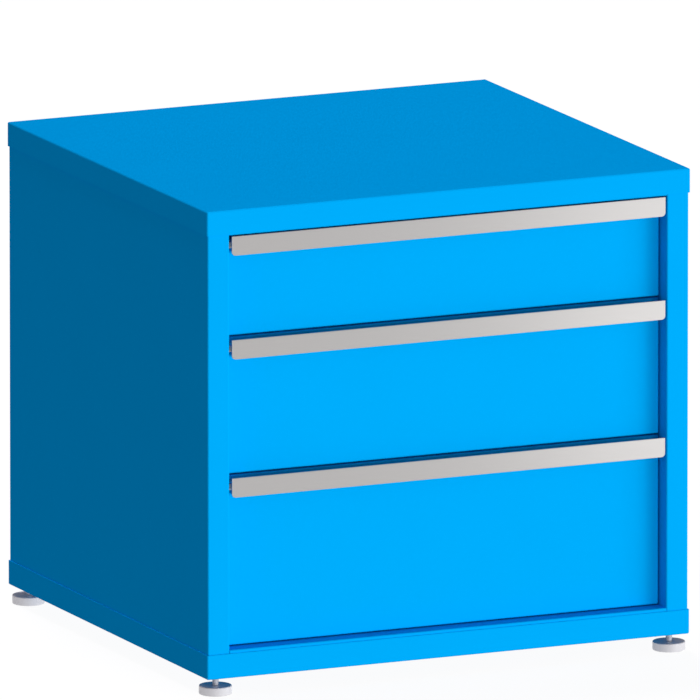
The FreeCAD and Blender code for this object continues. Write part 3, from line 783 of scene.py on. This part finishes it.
def foot_centre(foot):
    """Axis of a foot, across and along."""
    low, high = span(foot + "_foot_pad")
    return (low.x + high.x) / 2, (low.y + high.y) / 2


def way_up(node, other):
    """Way up from one node to another one like it."""
    return 0.0, 0.0, span(other)[0].z - span(node)[0].z


def stud_hole():
    """Radius of the hole that a foot's stud goes through."""
    low, high = span("rear_right_foot_stud")
    return (high.x - low.x) / 2 + sizes("foot").hole_gap


# Housing

def folded_tray(name, node, up, sheet, segments=5):
    """Tray folded from one sheet, open upwards or downwards, with ground corners."""
    low, high = span(node)
    piece = cube(name, low, high)
    with shaping(piece):
        open_side((0.0, 0.0, up))
        round_folds(sheet, segments)
    thicken(piece, sheet)
    return piece


class CABINET_OT_cover(bpy.types.Operator):
    """Lid-like cover that laps over the top of the housing"""

    bl_idname = "cabinet.cover"
    bl_label = "Top Cover"

    def execute(self, context):
        sheet = sizes("sheet")
        cover = folded_tray("top_cover_lid", "top_cover", -1.0, sheet.cover)
        soften(cover, sheet.edge)
        dress(cover, "cabinet", "blue_paint", ["top_cover"])
        return {"FINISHED"}


class CABINET_OT_base(bpy.types.Operator):
    """Base tray with a hole for each levelling stud"""

    bl_idname = "cabinet.base"
    bl_label = "Base Tray"

    def execute(self, context):
        sheet = sizes("sheet")
        tray = folded_tray("base_tray_shell", "base_tray", 1.0, sheet.cover)
        floor = span("base_tray")[0].z
        drill(tray, [
            cylinder("hole", foot_centre(foot), stud_hole(), floor - OVERRUN,
                     floor + sheet.cover + OVERRUN)
            for foot in FEET
        ])
        soften(tray, sheet.edge)
        dress(tray, "cabinet", "blue_paint", ["base_tray"])
        return {"FINISHED"}


class CABINET_OT_sides(bpy.types.Operator):
    """Side panels that fold into the front posts and the rear flanges"""

    bl_idname = "cabinet.sides"
    bl_label = "Side Panels"

    def execute(self, context):
        sheet = sizes("sheet")
        low, high = span("right_side_panel")
        depth = high.y - low.y
        post = high.x - low.x
        panel = strip("right_side_panel_shell", (high.x - sheet.rear_flange, high.y, high.z), [
            (sheet.rear_flange, 0.0, 0.0),
            (0.0, -depth, 0.0),
            (-post, 0.0, 0.0),
            (0.0, sheet.post_return, 0.0),
            (sheet.post_lip, 0.0, 0.0),
        ], (0.0, 0.0, low.z - high.z))
        with shaping(panel):
            round_folds(sheet.panel)
        thicken(panel, sheet.panel)
        soften(panel, sheet.edge)
        other = copy_of(panel, "left_side_panel_shell", mirrored=True)
        dress(panel, "cabinet", "blue_paint", ["right_side_panel"])
        dress(other, "cabinet", "blue_paint", ["left_side_panel"])
        return {"FINISHED"}


class CABINET_OT_back(bpy.types.Operator):
    """Back panel, a flat sheet inside the rear flanges"""

    bl_idname = "cabinet.back"
    bl_label = "Back Panel"

    def execute(self, context):
        low, high = span("back_panel")
        panel = cube("back_panel_sheet", low, high)
        soften(panel, sizes("sheet").edge)
        dress(panel, "cabinet", "blue_paint", ["back_panel"])
        return {"FINISHED"}


class CABINET_OT_rails(bpy.types.Operator):
    """Rails between the posts, over and under the drawers"""

    bl_idname = "cabinet.rails"
    bl_label = "Cross Rails"

    def execute(self, context):
        sheet = sizes("sheet")
        for node, up in (("header_rail", 1.0), ("bottom_rail", -1.0)):
            low, high = span(node)
            width = high.x - low.x
            far = high.z if up > 0 else low.z
            start_x = low.x if up > 0 else high.x
            rail = strip(node + "_channel", (start_x, low.y, far), [
                (0.0, 0.0, -up * (high.z - low.z)),
                (0.0, high.y - low.y, 0.0),
                (0.0, 0.0, up * sheet.rail_flange),
            ], (up * width, 0.0, 0.0))
            with shaping(rail):
                round_folds(sheet.panel)
            thicken(rail, sheet.panel)
            soften(rail, sheet.edge)
            dress(rail, "cabinet", "blue_paint", [node])
        return {"FINISHED"}


class CABINET_OT_uprights(bpy.types.Operator):
    """Slotted hat sections that carry the slides"""

    bl_idname = "cabinet.uprights"
    bl_label = "Uprights"

    def execute(self, context):
        upright = sizes("upright")
        sheet = sizes("sheet").upright
        low, high = span("right_front_upright")
        depth = high.x - low.x - sheet
        start = (high.x - sheet, low.y, high.z)
        piece = strip("right_front_upright_hat", start, [
            (0.0, upright.flange, 0.0),
            (-depth, 0.0, 0.0),
            (0.0, upright.width, 0.0),
            (depth, 0.0, 0.0),
            (0.0, upright.flange, 0.0),
        ], (0.0, 0.0, low.z - high.z))
        web_middle = (low.y + high.y) / 2
        slots = slot_levels()
        with shaping(piece):
            round_folds(sheet, 4)
            web = facing((-1.0, 0.0, 0.0))

            def on_web(face):
                return web(face) and near(middle(face).x, low.x)

            for sign in (-0.5, 0.5):
                slice_at(1, web_middle + sign * upright.slot_width, on_web)
            for level in slots:
                for sign in (-0.5, 0.5):
                    slice_at(2, level + sign * upright.slot_height, on_web)

            def in_slot(face):
                spot = middle(face)
                beside = abs(spot.y - web_middle) < upright.slot_width / 2
                return on_web(face) and beside and any(
                    abs(spot.z - level) < upright.slot_height / 2 for level in slots
                )

            pick("FACE", in_slot)
            bpy.ops.mesh.delete(type="FACE")
        thicken(piece, sheet)
        back = (0.0, span("right_rear_upright")[0].y - low.y, 0.0)
        copies = {
            "right_front_upright": piece,
            "right_rear_upright": copy_of(piece, "right_rear_upright_hat", back),
            "left_front_upright": copy_of(piece, "left_front_upright_hat", mirrored=True),
            "left_rear_upright": copy_of(piece, "left_rear_upright_hat", back, mirrored=True),
        }
        for node, copy in copies.items():
            dress(copy, "cabinet", "zinc_steel", [node])
        return {"FINISHED"}


def slot_levels():
    """Heights of the slots, from the first half a pitch over the opening's floor."""
    upright = sizes("upright")
    floor = span("bottom_rail")[1].z
    top = span("header_rail")[0].z
    count = int((top - floor - upright.slot_height) / upright.pitch) + 1
    return [floor + upright.pitch * (index + 0.5) for index in range(count)]


# Drawers

def corner_angles(wall, corner, count=4):
    """Angles round a lower corner of the pull, with one where the bead ends."""
    turn = math.acos(1.0 - wall / corner)
    return spread(0.0, turn, count)[:-1] + spread(turn, math.pi / 2, count)


def round_lower_corners(low, high, wall, corner):
    """Cut both lower corners of a pull to an arc, facet by facet."""
    angles = corner_angles(wall, corner)
    for side, edge_x in ((-1.0, low.x), (1.0, high.x)):
        centre = Vector((edge_x - side * corner, 0.0, low.z + corner))
        places = [
            centre + corner * Vector((side * math.sin(angle), 0.0, -math.cos(angle)))
            for angle in angles
        ]
        for first, second in zip(places, places[1:]):
            run = (second - first).normalized()
            outward = Vector((side * abs(run.z), 0.0, -abs(run.x)))
            pick("FACE")
            bpy.ops.mesh.bisect(
                plane_co=first, plane_no=outward, use_fill=True, clear_outer=True,
            )


def model_pull(name, node, front_face):
    """Extruded pull: a face with a bead, a web back to the front, and a leg down the front."""
    pull = sizes("pull")
    low, high = span(node)
    face_back = low.y + pull.wall
    web_top = high.z - pull.drop
    web_bottom = web_top - pull.wall
    piece = cube(name, low, (high.x, face_back, high.z))
    rear = facing((0.0, 1.0, 0.0))
    with shaping(piece):
        for level in (low.z + pull.wall, web_bottom, web_top):
            slice_at(2, level)
        pick("FACE", lambda face: rear(face) and middle(face).z < low.z + pull.wall)
        extrude((0.0, pull.bead - pull.wall, 0.0))
        pick("FACE", lambda face: rear(face) and web_bottom < middle(face).z < web_top)
        leg_start = front_face - pull.wall
        extrude((0.0, leg_start - face_back, 0.0))
        extrude((0.0, pull.wall, 0.0))
        under = facing((0.0, 0.0, -1.0))
        pick("FACE", lambda face: under(face) and leg_start < middle(face).y < front_face)
        extrude((0.0, 0.0, pull.wall - pull.leg))
        round_lower_corners(low, high, pull.wall, pull.corner)
    soften(piece, pull.edge, segments=3, angle=30.0)
    return piece


class CABINET_OT_pulls(bpy.types.Operator):
    """Full-width extruded pulls"""

    bl_idname = "cabinet.pulls"
    bl_label = "Pulls"

    def execute(self, context):
        first = "bottom_drawer_pull"
        model = model_pull(first + "_profile", first, span("bottom_drawer_pan")[0].y)
        finished = []
        for drawer in DRAWERS:
            node = drawer + "_drawer_pull"
            shift = way_up(first, node)
            copy = model if node == first else copy_of(model, node + "_profile", shift)
            finished.append((copy, drawer + "_drawer", "brushed_aluminium", [node]))
        dress_all(finished)
        return {"FINISHED"}


class CABINET_OT_fronts(bpy.types.Operator):
    """Folded drawer fronts with returns and lips"""

    bl_idname = "cabinet.fronts"
    bl_label = "Drawer Fronts"

    def execute(self, context):
        sheet = sizes("sheet")
        for drawer in DRAWERS:
            node = drawer + "_drawer_pan"
            low, high = span(node)
            lip_end = span(drawer + "_drawer_box")[1].x - sizes("hardware").lip
            front = cube(node + "_front", low, high)
            with shaping(front):
                open_side((0.0, 1.0, 0.0))
                for side, edge_x in ((1.0, low.x), (-1.0, high.x)):
                    pick("EDGE", lambda edge: near(middle(edge).x, edge_x)
                         and near(middle(edge).y, high.y))
                    extrude((side * (high.x - lip_end), 0.0, 0.0))
                round_folds(sheet.panel)
            thicken(front, sheet.panel)
            soften(front, sheet.edge)
            dress(front, drawer + "_drawer", "blue_paint", [node])
        return {"FINISHED"}


class CABINET_OT_boxes(bpy.types.Operator):
    """Drawer boxes folded from one sheet, with a hemmed rim"""

    bl_idname = "cabinet.boxes"
    bl_label = "Drawer Boxes"

    def execute(self, context):
        sheet = sizes("sheet")
        for drawer in DRAWERS:
            node = drawer + "_drawer_box"
            box = folded_tray(node + "_shell", node, 1.0, sheet.drawer, 4)
            hem_rim(box, span(node)[1].z - sheet.hem, sheet.drawer)
            soften(box, sheet.edge)
            dress(box, drawer + "_drawer", "blue_paint", [node])
        return {"FINISHED"}


def hem_rim(box, level, sheet):
    """Fold of double sheet along the inside of a drawer's rim."""
    with shaping(box):
        slice_at(2, level)

        def inner_wall(face):
            spot = middle(face)
            inwards = Vector((-spot.x, -spot.y, 0.0))
            upright = near(face.normal.z, 0.0, 1.0 - STRAIGHT)
            return spot.z > level and upright and face.normal.dot(inwards) > 0.0

        pick("FACE", inner_wall)
        bpy.ops.mesh.extrude_region_shrink_fatten(TRANSFORM_OT_shrink_fatten={"value": sheet})


# Telescopic slides

def race_line(kind):
    """Place across of a slide's rows of balls, and their height over the slide's middle."""
    slide = sizes("slide")
    mid_low, mid_high = span("bottom_right_mid_rail")
    drawer_low, drawer_high = span("bottom_right_drawer_rail")
    room = slide.ball + slide.clearance - slide.race_depth
    if kind == "outer":
        return (mid_low.x + mid_high.x) / 2, (mid_high.z - mid_low.z) / 2 + room
    across = (mid_low.x + drawer_high.x) / 2 - slide.clearance
    return across, (drawer_high.z - drawer_low.z) / 2 + room


def rail_screw_places():
    """Places along a drawer rail for the screws that hold it."""
    hardware = sizes("hardware")
    low, high = span("bottom_right_drawer_rail")
    return spread(low.y + hardware.rail_end, high.y - hardware.rail_end, hardware.rail_screws)


def bolt_places():
    """Middle of the front and of the rear upright."""
    return [
        sum(corner.y for corner in span("right_%s_upright" % line)) / 2
        for line in ("front", "rear")
    ]


def model_rail(name, node, web_at_low, races, holes):
    """Rolled channel: a web with two flanges, ball races in them, and screw holes."""
    slide = sizes("slide")
    low, high = span(node)
    level = (low.z + high.z) / 2
    sheet = slide.sheet
    web = (low.x, low.x + sheet) if web_at_low else (high.x - sheet, high.x)
    piece = cube(name, (web[0], low.y, low.z), (web[1], high.y, high.z))
    reach = high.x - low.x - sheet
    inwards = 1.0 if web_at_low else -1.0
    looks_inwards = facing((inwards, 0.0, 0.0))
    flange_start = (high.z - low.z) / 2 - sheet
    with shaping(piece):
        for height in (low.z + sheet, high.z - sheet):
            slice_at(2, height)
        pick("FACE", lambda face: looks_inwards(face)
             and abs(middle(face).z - level) > flange_start)
        extrude((inwards * reach, 0.0, 0.0))
    cutters = [
        lying("race", 1, (across, low.y - OVERRUN, level + sign * height),
              slide.ball + slide.clearance, high.y - low.y + 2 * OVERRUN, sides=32)
        for across, height in races for sign in (-1.0, 1.0)
    ]
    cutters += [
        lying("hole", 0, (low.x - OVERRUN, along, level), radius, high.x - low.x + 2 * OVERRUN)
        for along, radius in holes
    ]
    drill(piece, cutters)
    soften(piece, slide.edge)
    return piece


class CABINET_OT_slides(bpy.types.Operator):
    """Three nested rails on each side of each drawer"""

    bl_idname = "cabinet.slides"
    bl_label = "Slides"

    def execute(self, context):
        slide, hardware = sizes("slide"), sizes("hardware")
        outer, inner = race_line("outer"), race_line("inner")
        bolt_holes = [(along, hardware.bolt + slide.hole_gap) for along in bolt_places()]
        screw_holes = [(along, hardware.screw + slide.hole_gap) for along in rail_screw_places()]
        kinds = {
            "cabinet": ("cabinet", False, [outer], bolt_holes),
            "mid": ("{}_mid_rails", False, [outer, inner], []),
            "drawer": ("{}_drawer", True, [inner], screw_holes),
        }
        finished = []
        for kind, (body, web_at_low, races, holes) in kinds.items():
            first = "bottom_right_%s_rail" % kind
            model = model_rail(first + "_channel", first, web_at_low, races, holes)
            for drawer in DRAWERS:
                shift = way_up(first, "%s_right_%s_rail" % (drawer, kind))
                for side in ("right", "left"):
                    node = "%s_%s_%s_rail" % (drawer, side, kind)
                    copy = model if node == first else copy_of(
                        model, node + "_channel", shift, mirrored=side == "left",
                    )
                    finished.append((copy, body.format(drawer), "zinc_steel", [node]))
        dress_all(finished)
        return {"FINISHED"}


def model_cage(which):
    """Strip with round windows and a ball in each, above a slide's middle on the right."""
    slide = sizes("slide")
    across, height = race_line(which)
    low, high = span("bottom_right_cabinet_rail")
    level = (low.z + high.z) / 2 + height
    cage_low, cage_high = span("bottom_%s_ball_cages" % which)
    start, end = cage_low.y, cage_high.y
    places = shared_out(start, end, slide.balls)
    half_width, half_sheet = slide.cage_width / 2, slide.cage_sheet / 2
    cage = cube("cage", (across - half_width, start, level - half_sheet),
                (across + half_width, end, level + half_sheet))
    drill(cage, [
        cylinder("window", (across, along), slide.ball + slide.window_gap,
                 level - slide.cage_sheet, level + slide.cage_sheet, sides=24)
        for along in places
    ])
    soften(cage, half_sheet / 2)
    cage.data.materials.append(material("cage_strip"))
    balls = []
    for along in places:
        bpy.ops.object.select_all(action="DESELECT")
        bpy.ops.mesh.primitive_uv_sphere_add(
            segments=14, ring_count=8, radius=slide.ball, location=(across, along, level),
        )
        balls.append(settle(bpy.context.object, "ball"))
    row = join("balls", balls)
    row.data.materials.append(material("ball_steel"))
    return join("cage", [cage, row])


class CABINET_OT_cages(bpy.types.Operator):
    """Ball cages above and below the rails, four to a set"""

    bl_idname = "cabinet.cages"
    bl_label = "Ball Cages"

    def execute(self, context):
        finished = []
        for which in ("outer", "inner"):
            height = race_line(which)[1]
            upper = model_cage(which)
            lower = copy_of(upper, "cage", (0.0, 0.0, -2 * height))
            right = join("cages", [upper, lower])
            left = copy_of(right, "cages", mirrored=True)
            first = "bottom_%s_ball_cages" % which
            model = join(first + "_set", [right, left])
            for drawer in DRAWERS:
                node = "%s_%s_ball_cages" % (drawer, which)
                shift = way_up(first, node)
                copy = model if node == first else copy_of(model, node + "_set", shift)
                finished.append((copy, node + "_pair", "ball_steel", [node]))
        dress_all(finished)
        return {"FINISHED"}


# Screws, bolts, nuts and bushings

TURNS = {
    "+x": (0.0, math.pi / 2, 0.0),
    "-x": (0.0, -math.pi / 2, 0.0),
    "+y": (-math.pi / 2, 0.0, 0.0),
    "-y": (math.pi / 2, 0.0, 0.0),
}


def model_screw(radius, run, head_radius):
    """Pan head with a cross recess on a plain shank. Its seat is the origin, its head is up."""
    hardware = sizes("hardware")
    head = cylinder("screw", (0.0, 0.0), head_radius, 0.0, hardware.head_height, sides=20)
    with shaping(head):
        pick("FACE", facing((0.0, 0.0, -1.0)))
        bpy.ops.mesh.inset(thickness=head_radius - radius, depth=0.0)
        extrude((0.0, 0.0, -run))
        pick("EDGE", lambda edge: folded(edge) and near(middle(edge).z, hardware.head_height))
        bevel(hardware.head_height * hardware.head_round, 3)
    half, arm = hardware.recess / 2, head_radius * hardware.recess_reach
    floor = hardware.head_height * (1.0 - hardware.recess_depth)
    top = hardware.head_height + OVERRUN
    for long_way, short_way in ((arm, half), (half, arm)):
        drill(head, [cube("slot", (-long_way, -short_way, floor), (long_way, short_way, top))])
    return head


def screw_set(name, model, places):
    """One piece with a copy of the model at each place and heading."""
    copies = [copy_of(model, "screw", seat, turn=TURNS[heading]) for seat, heading in places]
    joined = join(name, copies)
    bpy.data.objects.remove(model)
    return joined


class CABINET_OT_screws(bpy.types.Operator):
    """Screws of the back panel and of the drawers"""

    bl_idname = "cabinet.screws"
    bl_label = "Screws"

    def execute(self, context):
        hardware, sheet = sizes("hardware"), sizes("sheet")

        def new_screw():
            return model_screw(hardware.screw, hardware.screw_length, hardware.screw_head)

        low, high = span("right_side_panel")
        across = high.x - hardware.rear_inset
        levels = shared_out(low.z, high.z, hardware.back_screws)
        back = screw_set("back_panel_screw_set", new_screw(), [
            ((sign * across, high.y, level), "+y") for sign in (-1.0, 1.0) for level in levels
        ])
        dress(back, "cabinet", "zinc_steel", ["back_panel_screws"])
        for drawer in DRAWERS:
            box_low, box_high = span(drawer + "_drawer_box")
            pull_low, pull_high = span(drawer + "_drawer_pull")
            rail_low, rail_high = span(drawer + "_right_drawer_rail")
            seat_x = box_high.x - sheet.drawer
            level = (rail_low.z + rail_high.z) / 2
            places = []
            for along in rail_screw_places():
                places += [((seat_x, along, level), "-x"), ((-seat_x, along, level), "+x")]
            across = box_high.x - hardware.lip / 2
            for height in (box_low.z + hardware.lip, box_high.z - hardware.lip):
                seat = (across, box_low.y + sheet.drawer, height)
                places += [(seat, "+y"), ((-seat[0], *seat[1:]), "+y")]
            pull = sizes("pull")
            height = pull_high.z - pull.drop - (pull.wall + pull.leg) / 2
            front = span(drawer + "_drawer_pan")[0].y
            start, end = pull_low.x + hardware.pull_end, pull_high.x - hardware.pull_end
            for across in spread(start, end, hardware.pull_screws):
                places.append(((across, front - pull.wall, height), "-y"))
            screws = screw_set(drawer + "_drawer_screw_set", new_screw(), places)
            dress(screws, drawer + "_drawer", "zinc_steel", [drawer + "_drawer_screws"])
        return {"FINISHED"}


class CABINET_OT_bolts(bpy.types.Operator):
    """Bolts and square nuts that hold the slides to the uprights"""

    bl_idname = "cabinet.bolts"
    bl_label = "Bolts and Nuts"

    def execute(self, context):
        hardware = sizes("hardware")
        web = span("bottom_right_cabinet_rail")[1].x
        seat_x = web - sizes("slide").sheet
        half = hardware.nut_width / 2
        nut_x = web + sizes("sheet").upright
        nut = cube("nut", (nut_x, -half, -half), (nut_x + hardware.nut_height, half, half))
        run = hardware.nut_height + 2 * OVERRUN
        drill(nut, [lying("bore", 0, (nut_x - OVERRUN, 0.0, 0.0), hardware.bolt, run)])
        soften(nut, hardware.edge)
        places = []
        nuts = []
        for drawer in DRAWERS:
            low, high = span(drawer + "_right_cabinet_rail")
            level = (low.z + high.z) / 2
            for along in bolt_places():
                places += [((seat_x, along, level), "-x"), ((-seat_x, along, level), "+x")]
                right = copy_of(nut, "nut", (0.0, along, level))
                nuts += [right, copy_of(right, "nut", mirrored=True)]
        bpy.data.objects.remove(nut)
        model = model_screw(hardware.bolt, hardware.bolt_length, hardware.bolt_head)
        dress(screw_set("slide_bolt_set", model, places), "cabinet", "zinc_steel", ["slide_bolts"])
        dress(join("slide_nut_set", nuts), "cabinet", "zinc_steel", ["slide_nuts"])
        return {"FINISHED"}


class CABINET_OT_bushings(bpy.types.Operator):
    """Flanged bushings on the tray's floor, one for each stud"""

    bl_idname = "cabinet.bushings"
    bl_label = "Bushings"

    def execute(self, context):
        hardware = sizes("hardware")
        floor = span("leveller_bushings")[0].z
        home = foot_centre(FEET[0])
        flange_top = floor + hardware.flange_height
        first = cylinder("bushing", home, hardware.flange_radius, floor, flange_top)
        with shaping(first):
            pick("FACE", facing((0.0, 0.0, 1.0)))
            bpy.ops.mesh.inset(thickness=hardware.flange_radius - hardware.barrel_radius, depth=0.0)
            extrude((0.0, 0.0, hardware.barrel_height - hardware.flange_height))
        top = floor + hardware.barrel_height
        drill(first, [cylinder("bore", home, stud_hole(), floor - OVERRUN, top + OVERRUN)])
        soften(first, hardware.edge)
        copies = [copy_of(first, "bushing", foot_shift(foot)) for foot in FEET[1:]]
        bushings = join("leveller_bushing_set", [first, *copies])
        dress(bushings, "cabinet", "zinc_steel", ["leveller_bushings"])
        return {"FINISHED"}


# Levelling feet

# Facets round a stud, and steps in each turn of its thread
STUD_SIDES = 32


class CABINET_OT_feet(bpy.types.Operator):
    """Turned foot pads on threaded studs"""

    bl_idname = "cabinet.feet"
    bl_label = "Levelling Feet"

    def execute(self, context):
        models = {"pad": model_pad(FEET[0]), "stud": model_stud(FEET[0])}
        finished = []
        for foot in FEET:
            for part, model in models.items():
                node = "%s_foot_%s" % (foot, part)
                copy = model if foot == FEET[0] else copy_of(
                    model, node + "_turned", foot_shift(foot),
                )
                finished.append((copy, foot + "_foot", "zinc_foot", [node]))
        dress_all(finished)
        return {"FINISHED"}


def foot_shift(foot):
    """Way from the first foot to another one."""
    across, along = foot_centre(foot)
    start_across, start_along = foot_centre(FEET[0])
    return across - start_across, along - start_along, 0.0


def model_pad(foot_name):
    """Round pad with rounded edges, and a shallow groove on both sides."""
    foot = sizes("foot")
    node = foot_name + "_foot_pad"
    low, high = span(node)
    radius = (high.x - low.x) / 2
    centre = foot_centre(foot_name)
    piece = cylinder(node + "_turned", centre, radius, low.z, high.z, sides=96)
    stud_low, stud_high = span(foot_name + "_foot_stud")
    stud = (stud_high.x - stud_low.x) / 2
    with shaping(piece):
        pick("FACE", facing((0.0, 0.0, 1.0)))
        bpy.ops.mesh.inset(thickness=radius - stud - foot.collar, depth=0.0)
        bpy.ops.mesh.inset(thickness=foot.groove, depth=-foot.groove)
        bpy.ops.mesh.inset(thickness=foot.collar - foot.groove, depth=0.0)
        extrude((0.0, 0.0, foot.groove - foot.socket))
        pick("FACE", facing((0.0, 0.0, -1.0)))
        bpy.ops.mesh.inset(thickness=foot.rim, depth=0.0)
        bpy.ops.mesh.inset(thickness=foot.groove, depth=-foot.groove)

        def outermost(edge):
            spot = middle(edge)
            reach = math.hypot(spot.x - centre[0], spot.y - centre[1])
            return folded(edge) and near(reach, radius, foot.bevel / 2)

        pick("EDGE", outermost)
        bevel(foot.bevel, 4)
    return piece


def model_stud(foot_name):
    """Stud with a true helical thread, a chamfered tip and a driver slot."""
    foot = sizes("foot")
    node = foot_name + "_foot_stud"
    low, high = span(node)
    across, along = foot_centre(foot_name)
    crest = (high.x - low.x) / 2
    core = crest - foot.thread_depth
    rod = cylinder(node + "_turned", (across, along), core, low.z, high.z, sides=STUD_SIDES)
    with shaping(rod):
        pick("EDGE", lambda edge: folded(edge) and near(middle(edge).z, high.z))
        bevel(foot.chamfer, 2)
    slot = cube("driver_slot", (across - crest, along - foot.slot / 2, high.z - foot.slot),
                (across + crest, along + foot.slot / 2, high.z + OVERRUN))
    drill(rod, [slot])
    ridge = thread((across, along), core, crest, low.z, high.z - foot.plain)
    return join(node + "_turned", [rod, ridge])


def thread(centre, core, crest, low, high):
    """Helical ridge: a wedge swept by the screw modifier and closed at both ends."""
    foot = sizes("foot")
    pitch = foot.thread_pitch
    root = core - foot.thread_root
    turns = int((high - low) / pitch)
    bpy.ops.object.select_all(action="DESELECT")
    bpy.ops.mesh.primitive_plane_add(size=1.0, rotation=(math.pi / 2, 0.0, 0.0))
    wedge = bpy.context.object
    wedge.scale = (crest - root, pitch * foot.thread_foot, 1.0)
    wedge.location = ((crest + root) / 2, 0.0, pitch / 2)
    settle(wedge, "thread")
    with shaping(wedge):
        pick("EDGE", lambda edge: near(middle(edge).x, crest))
        bpy.ops.transform.resize(
            value=(1.0, 1.0, foot.thread_crest), center_override=(crest, 0.0, pitch / 2),
        )
        pick("FACE")
        bpy.ops.mesh.delete(type="ONLY_FACE")
    modify(wedge, "SCREW", axis="Z", angle=2 * math.pi, screw_offset=pitch, iterations=turns,
           steps=STUD_SIDES, render_steps=STUD_SIDES, use_merge_vertices=False)
    with shaping(wedge):
        pick("EDGE", lambda edge: edge.is_boundary)
        bpy.ops.mesh.edge_face_add()
        pick("FACE")
        bpy.ops.mesh.normals_make_consistent(inside=False)
    take(wedge)
    wedge.location = (*centre, low)
    return settle(wedge, "thread")


# Studio

# Turn in degrees to the right of the front, and strength, of each light in front
FAN = ((-7.0, 1.02), (31.0, 0.42), (44.0, 0.74), (55.0, 0.66), (67.0, 0.50))


def direction(turn, rise):
    """Way to look from the cabinet: turned to the right of the front, and raised."""
    return Vector((
        math.sin(turn) * math.cos(rise), -math.cos(turn) * math.cos(rise), math.sin(rise),
    ))


def aim(thing, where, target):
    """Put a lamp or the camera in its place and turn it to a target."""
    thing.location = where
    thing.rotation_euler = (Vector(target) - Vector(where)).to_track_quat("-Z", "Y").to_euler()


def far_light(name, strength, turn, rise):
    """Light from so far that it falls evenly. Metal doesn't mirror it."""
    studio = sizes("studio")
    bpy.ops.object.light_add(type="SUN")
    lamp = bpy.context.object
    lamp.name = name
    lamp.data.energy = strength
    lamp.data.angle = studio.spread
    lamp.visible_glossy = False
    centre = (CAD_LOW + CAD_HIGH) / 2
    aim(lamp, centre + studio.distance * direction(turn, rise), centre)
    return lamp


def glint_panel():
    """Small panel in front, to the right, that shows only in reflections."""
    studio = sizes("studio")
    bpy.ops.object.light_add(type="AREA")
    lamp = bpy.context.object
    lamp.name = "glint_panel"
    lamp.data.shape = "RECTANGLE"
    lamp.data.size = studio.glint_width
    lamp.data.size_y = studio.glint_height
    lamp.data.energy = studio.glint
    lamp.visible_camera = False
    lamp.visible_diffuse = False
    aim(lamp, studio.glint_place, studio.glint_target)


def light_world():
    """Even light from all round; the camera itself sees plain white."""
    studio = sizes("studio")
    graph = Graph("studio_world", "worlds")
    fill = graph.nodes["Background"]
    graph.feed(fill, {"Color": opaque(studio.fill_tint), "Strength": studio.fill})
    seen = graph.add("ShaderNodeBackground", None, {"Color": (1.0, 1.0, 1.0, 1.0)})
    to_camera = graph.add("ShaderNodeLightPath", output="Is Camera Ray")
    mixed = graph.add("ShaderNodeMixShader", None, {
        0: to_camera, 1: Value(graph, fill.outputs[0]), 2: seen,
    })
    graph.feed(graph.nodes["World Output"], {"Surface": mixed})
    bpy.context.scene.world = graph.owner


def lay_floor():
    """Floor that metal mirrors, but that throws no light on the paint and no shadow."""
    bpy.ops.object.select_all(action="DESELECT")
    bpy.ops.mesh.primitive_plane_add(size=sizes("studio").floor_size)
    floor = bpy.context.object
    floor.name = "studio_floor"
    floor.data.materials.append(material("floor"))
    floor.visible_diffuse = False
    floor.visible_shadow = False


class CABINET_OT_stage(bpy.types.Operator):
    """Pale floor, soft lights and the camera"""

    bl_idname = "cabinet.stage"
    bl_label = "Stage"

    def execute(self, context):
        studio = sizes("studio")
        lay_floor()
        for turn, strength in FAN:
            far_light("key_light", studio.key * strength, math.radians(turn), studio.key_rise)
        overhead = far_light("overhead_light", studio.overhead, math.pi, studio.overhead_rise)
        overhead.data.color = studio.overhead_tint
        glint_panel()
        light_world()
        add_camera()
        context.scene.view_settings.view_transform = "Standard"
        return {"FINISHED"}


def add_camera():
    """Long lens, so that the view is as good as parallel."""
    studio = sizes("studio")
    centre = (CAD_LOW + CAD_HIGH) / 2
    back = direction(studio.azimuth, studio.elevation)
    right = direction(studio.azimuth + math.pi / 2, 0.0)
    up = back.cross(right)
    target = centre + studio.aim_right * right + studio.aim_up * up
    bpy.ops.object.camera_add()
    camera = bpy.context.object
    camera.data.sensor_width = studio.sensor
    camera.data.lens = studio.lens
    distance = studio.frame_width * camera.data.lens / camera.data.sensor_width
    aim(camera, target + back * distance, target)
    camera.data.clip_start = 1.0
    camera.data.clip_end = 2 * distance
    bpy.context.scene.camera = camera


class CABINET_PT_sidebar(bpy.types.Panel):
    """Every step of the cabinet in the sidebar"""

    bl_idname = "CABINET_PT_sidebar"
    bl_label = "Drawer Cabinet"
    bl_space_type = "VIEW_3D"
    bl_region_type = "UI"
    bl_category = "Cabinet"

    def draw(self, context):
        for step in STEPS:
            self.layout.operator(step.bl_idname)


STEPS = (
    CABINET_OT_cover,
    CABINET_OT_base,
    CABINET_OT_sides,
    CABINET_OT_back,
    CABINET_OT_rails,
    CABINET_OT_uprights,
    CABINET_OT_fronts,
    CABINET_OT_pulls,
    CABINET_OT_boxes,
    CABINET_OT_slides,
    CABINET_OT_cages,
    CABINET_OT_screws,
    CABINET_OT_bolts,
    CABINET_OT_bushings,
    CABINET_OT_feet,
    CABINET_OT_stage,
)


def register():
    for name, group in GROUPS.items():
        bpy.utils.register_class(group)
        setattr(bpy.types.Scene, "cabinet_" + name, PointerProperty(type=group))
    for step in STEPS:
        bpy.utils.register_class(step)
    bpy.utils.register_class(CABINET_PT_sidebar)


def unregister():
    bpy.utils.unregister_class(CABINET_PT_sidebar)
    for step in reversed(STEPS):
        bpy.utils.unregister_class(step)
    for name, group in GROUPS.items():
        delattr(bpy.types.Scene, "cabinet_" + name)
        bpy.utils.unregister_class(group)


def main():
    register()
    for step in STEPS:
        group, name = step.bl_idname.split(".")
        getattr(getattr(bpy.ops, group), name)()


if __name__ == "__main__":
    main()
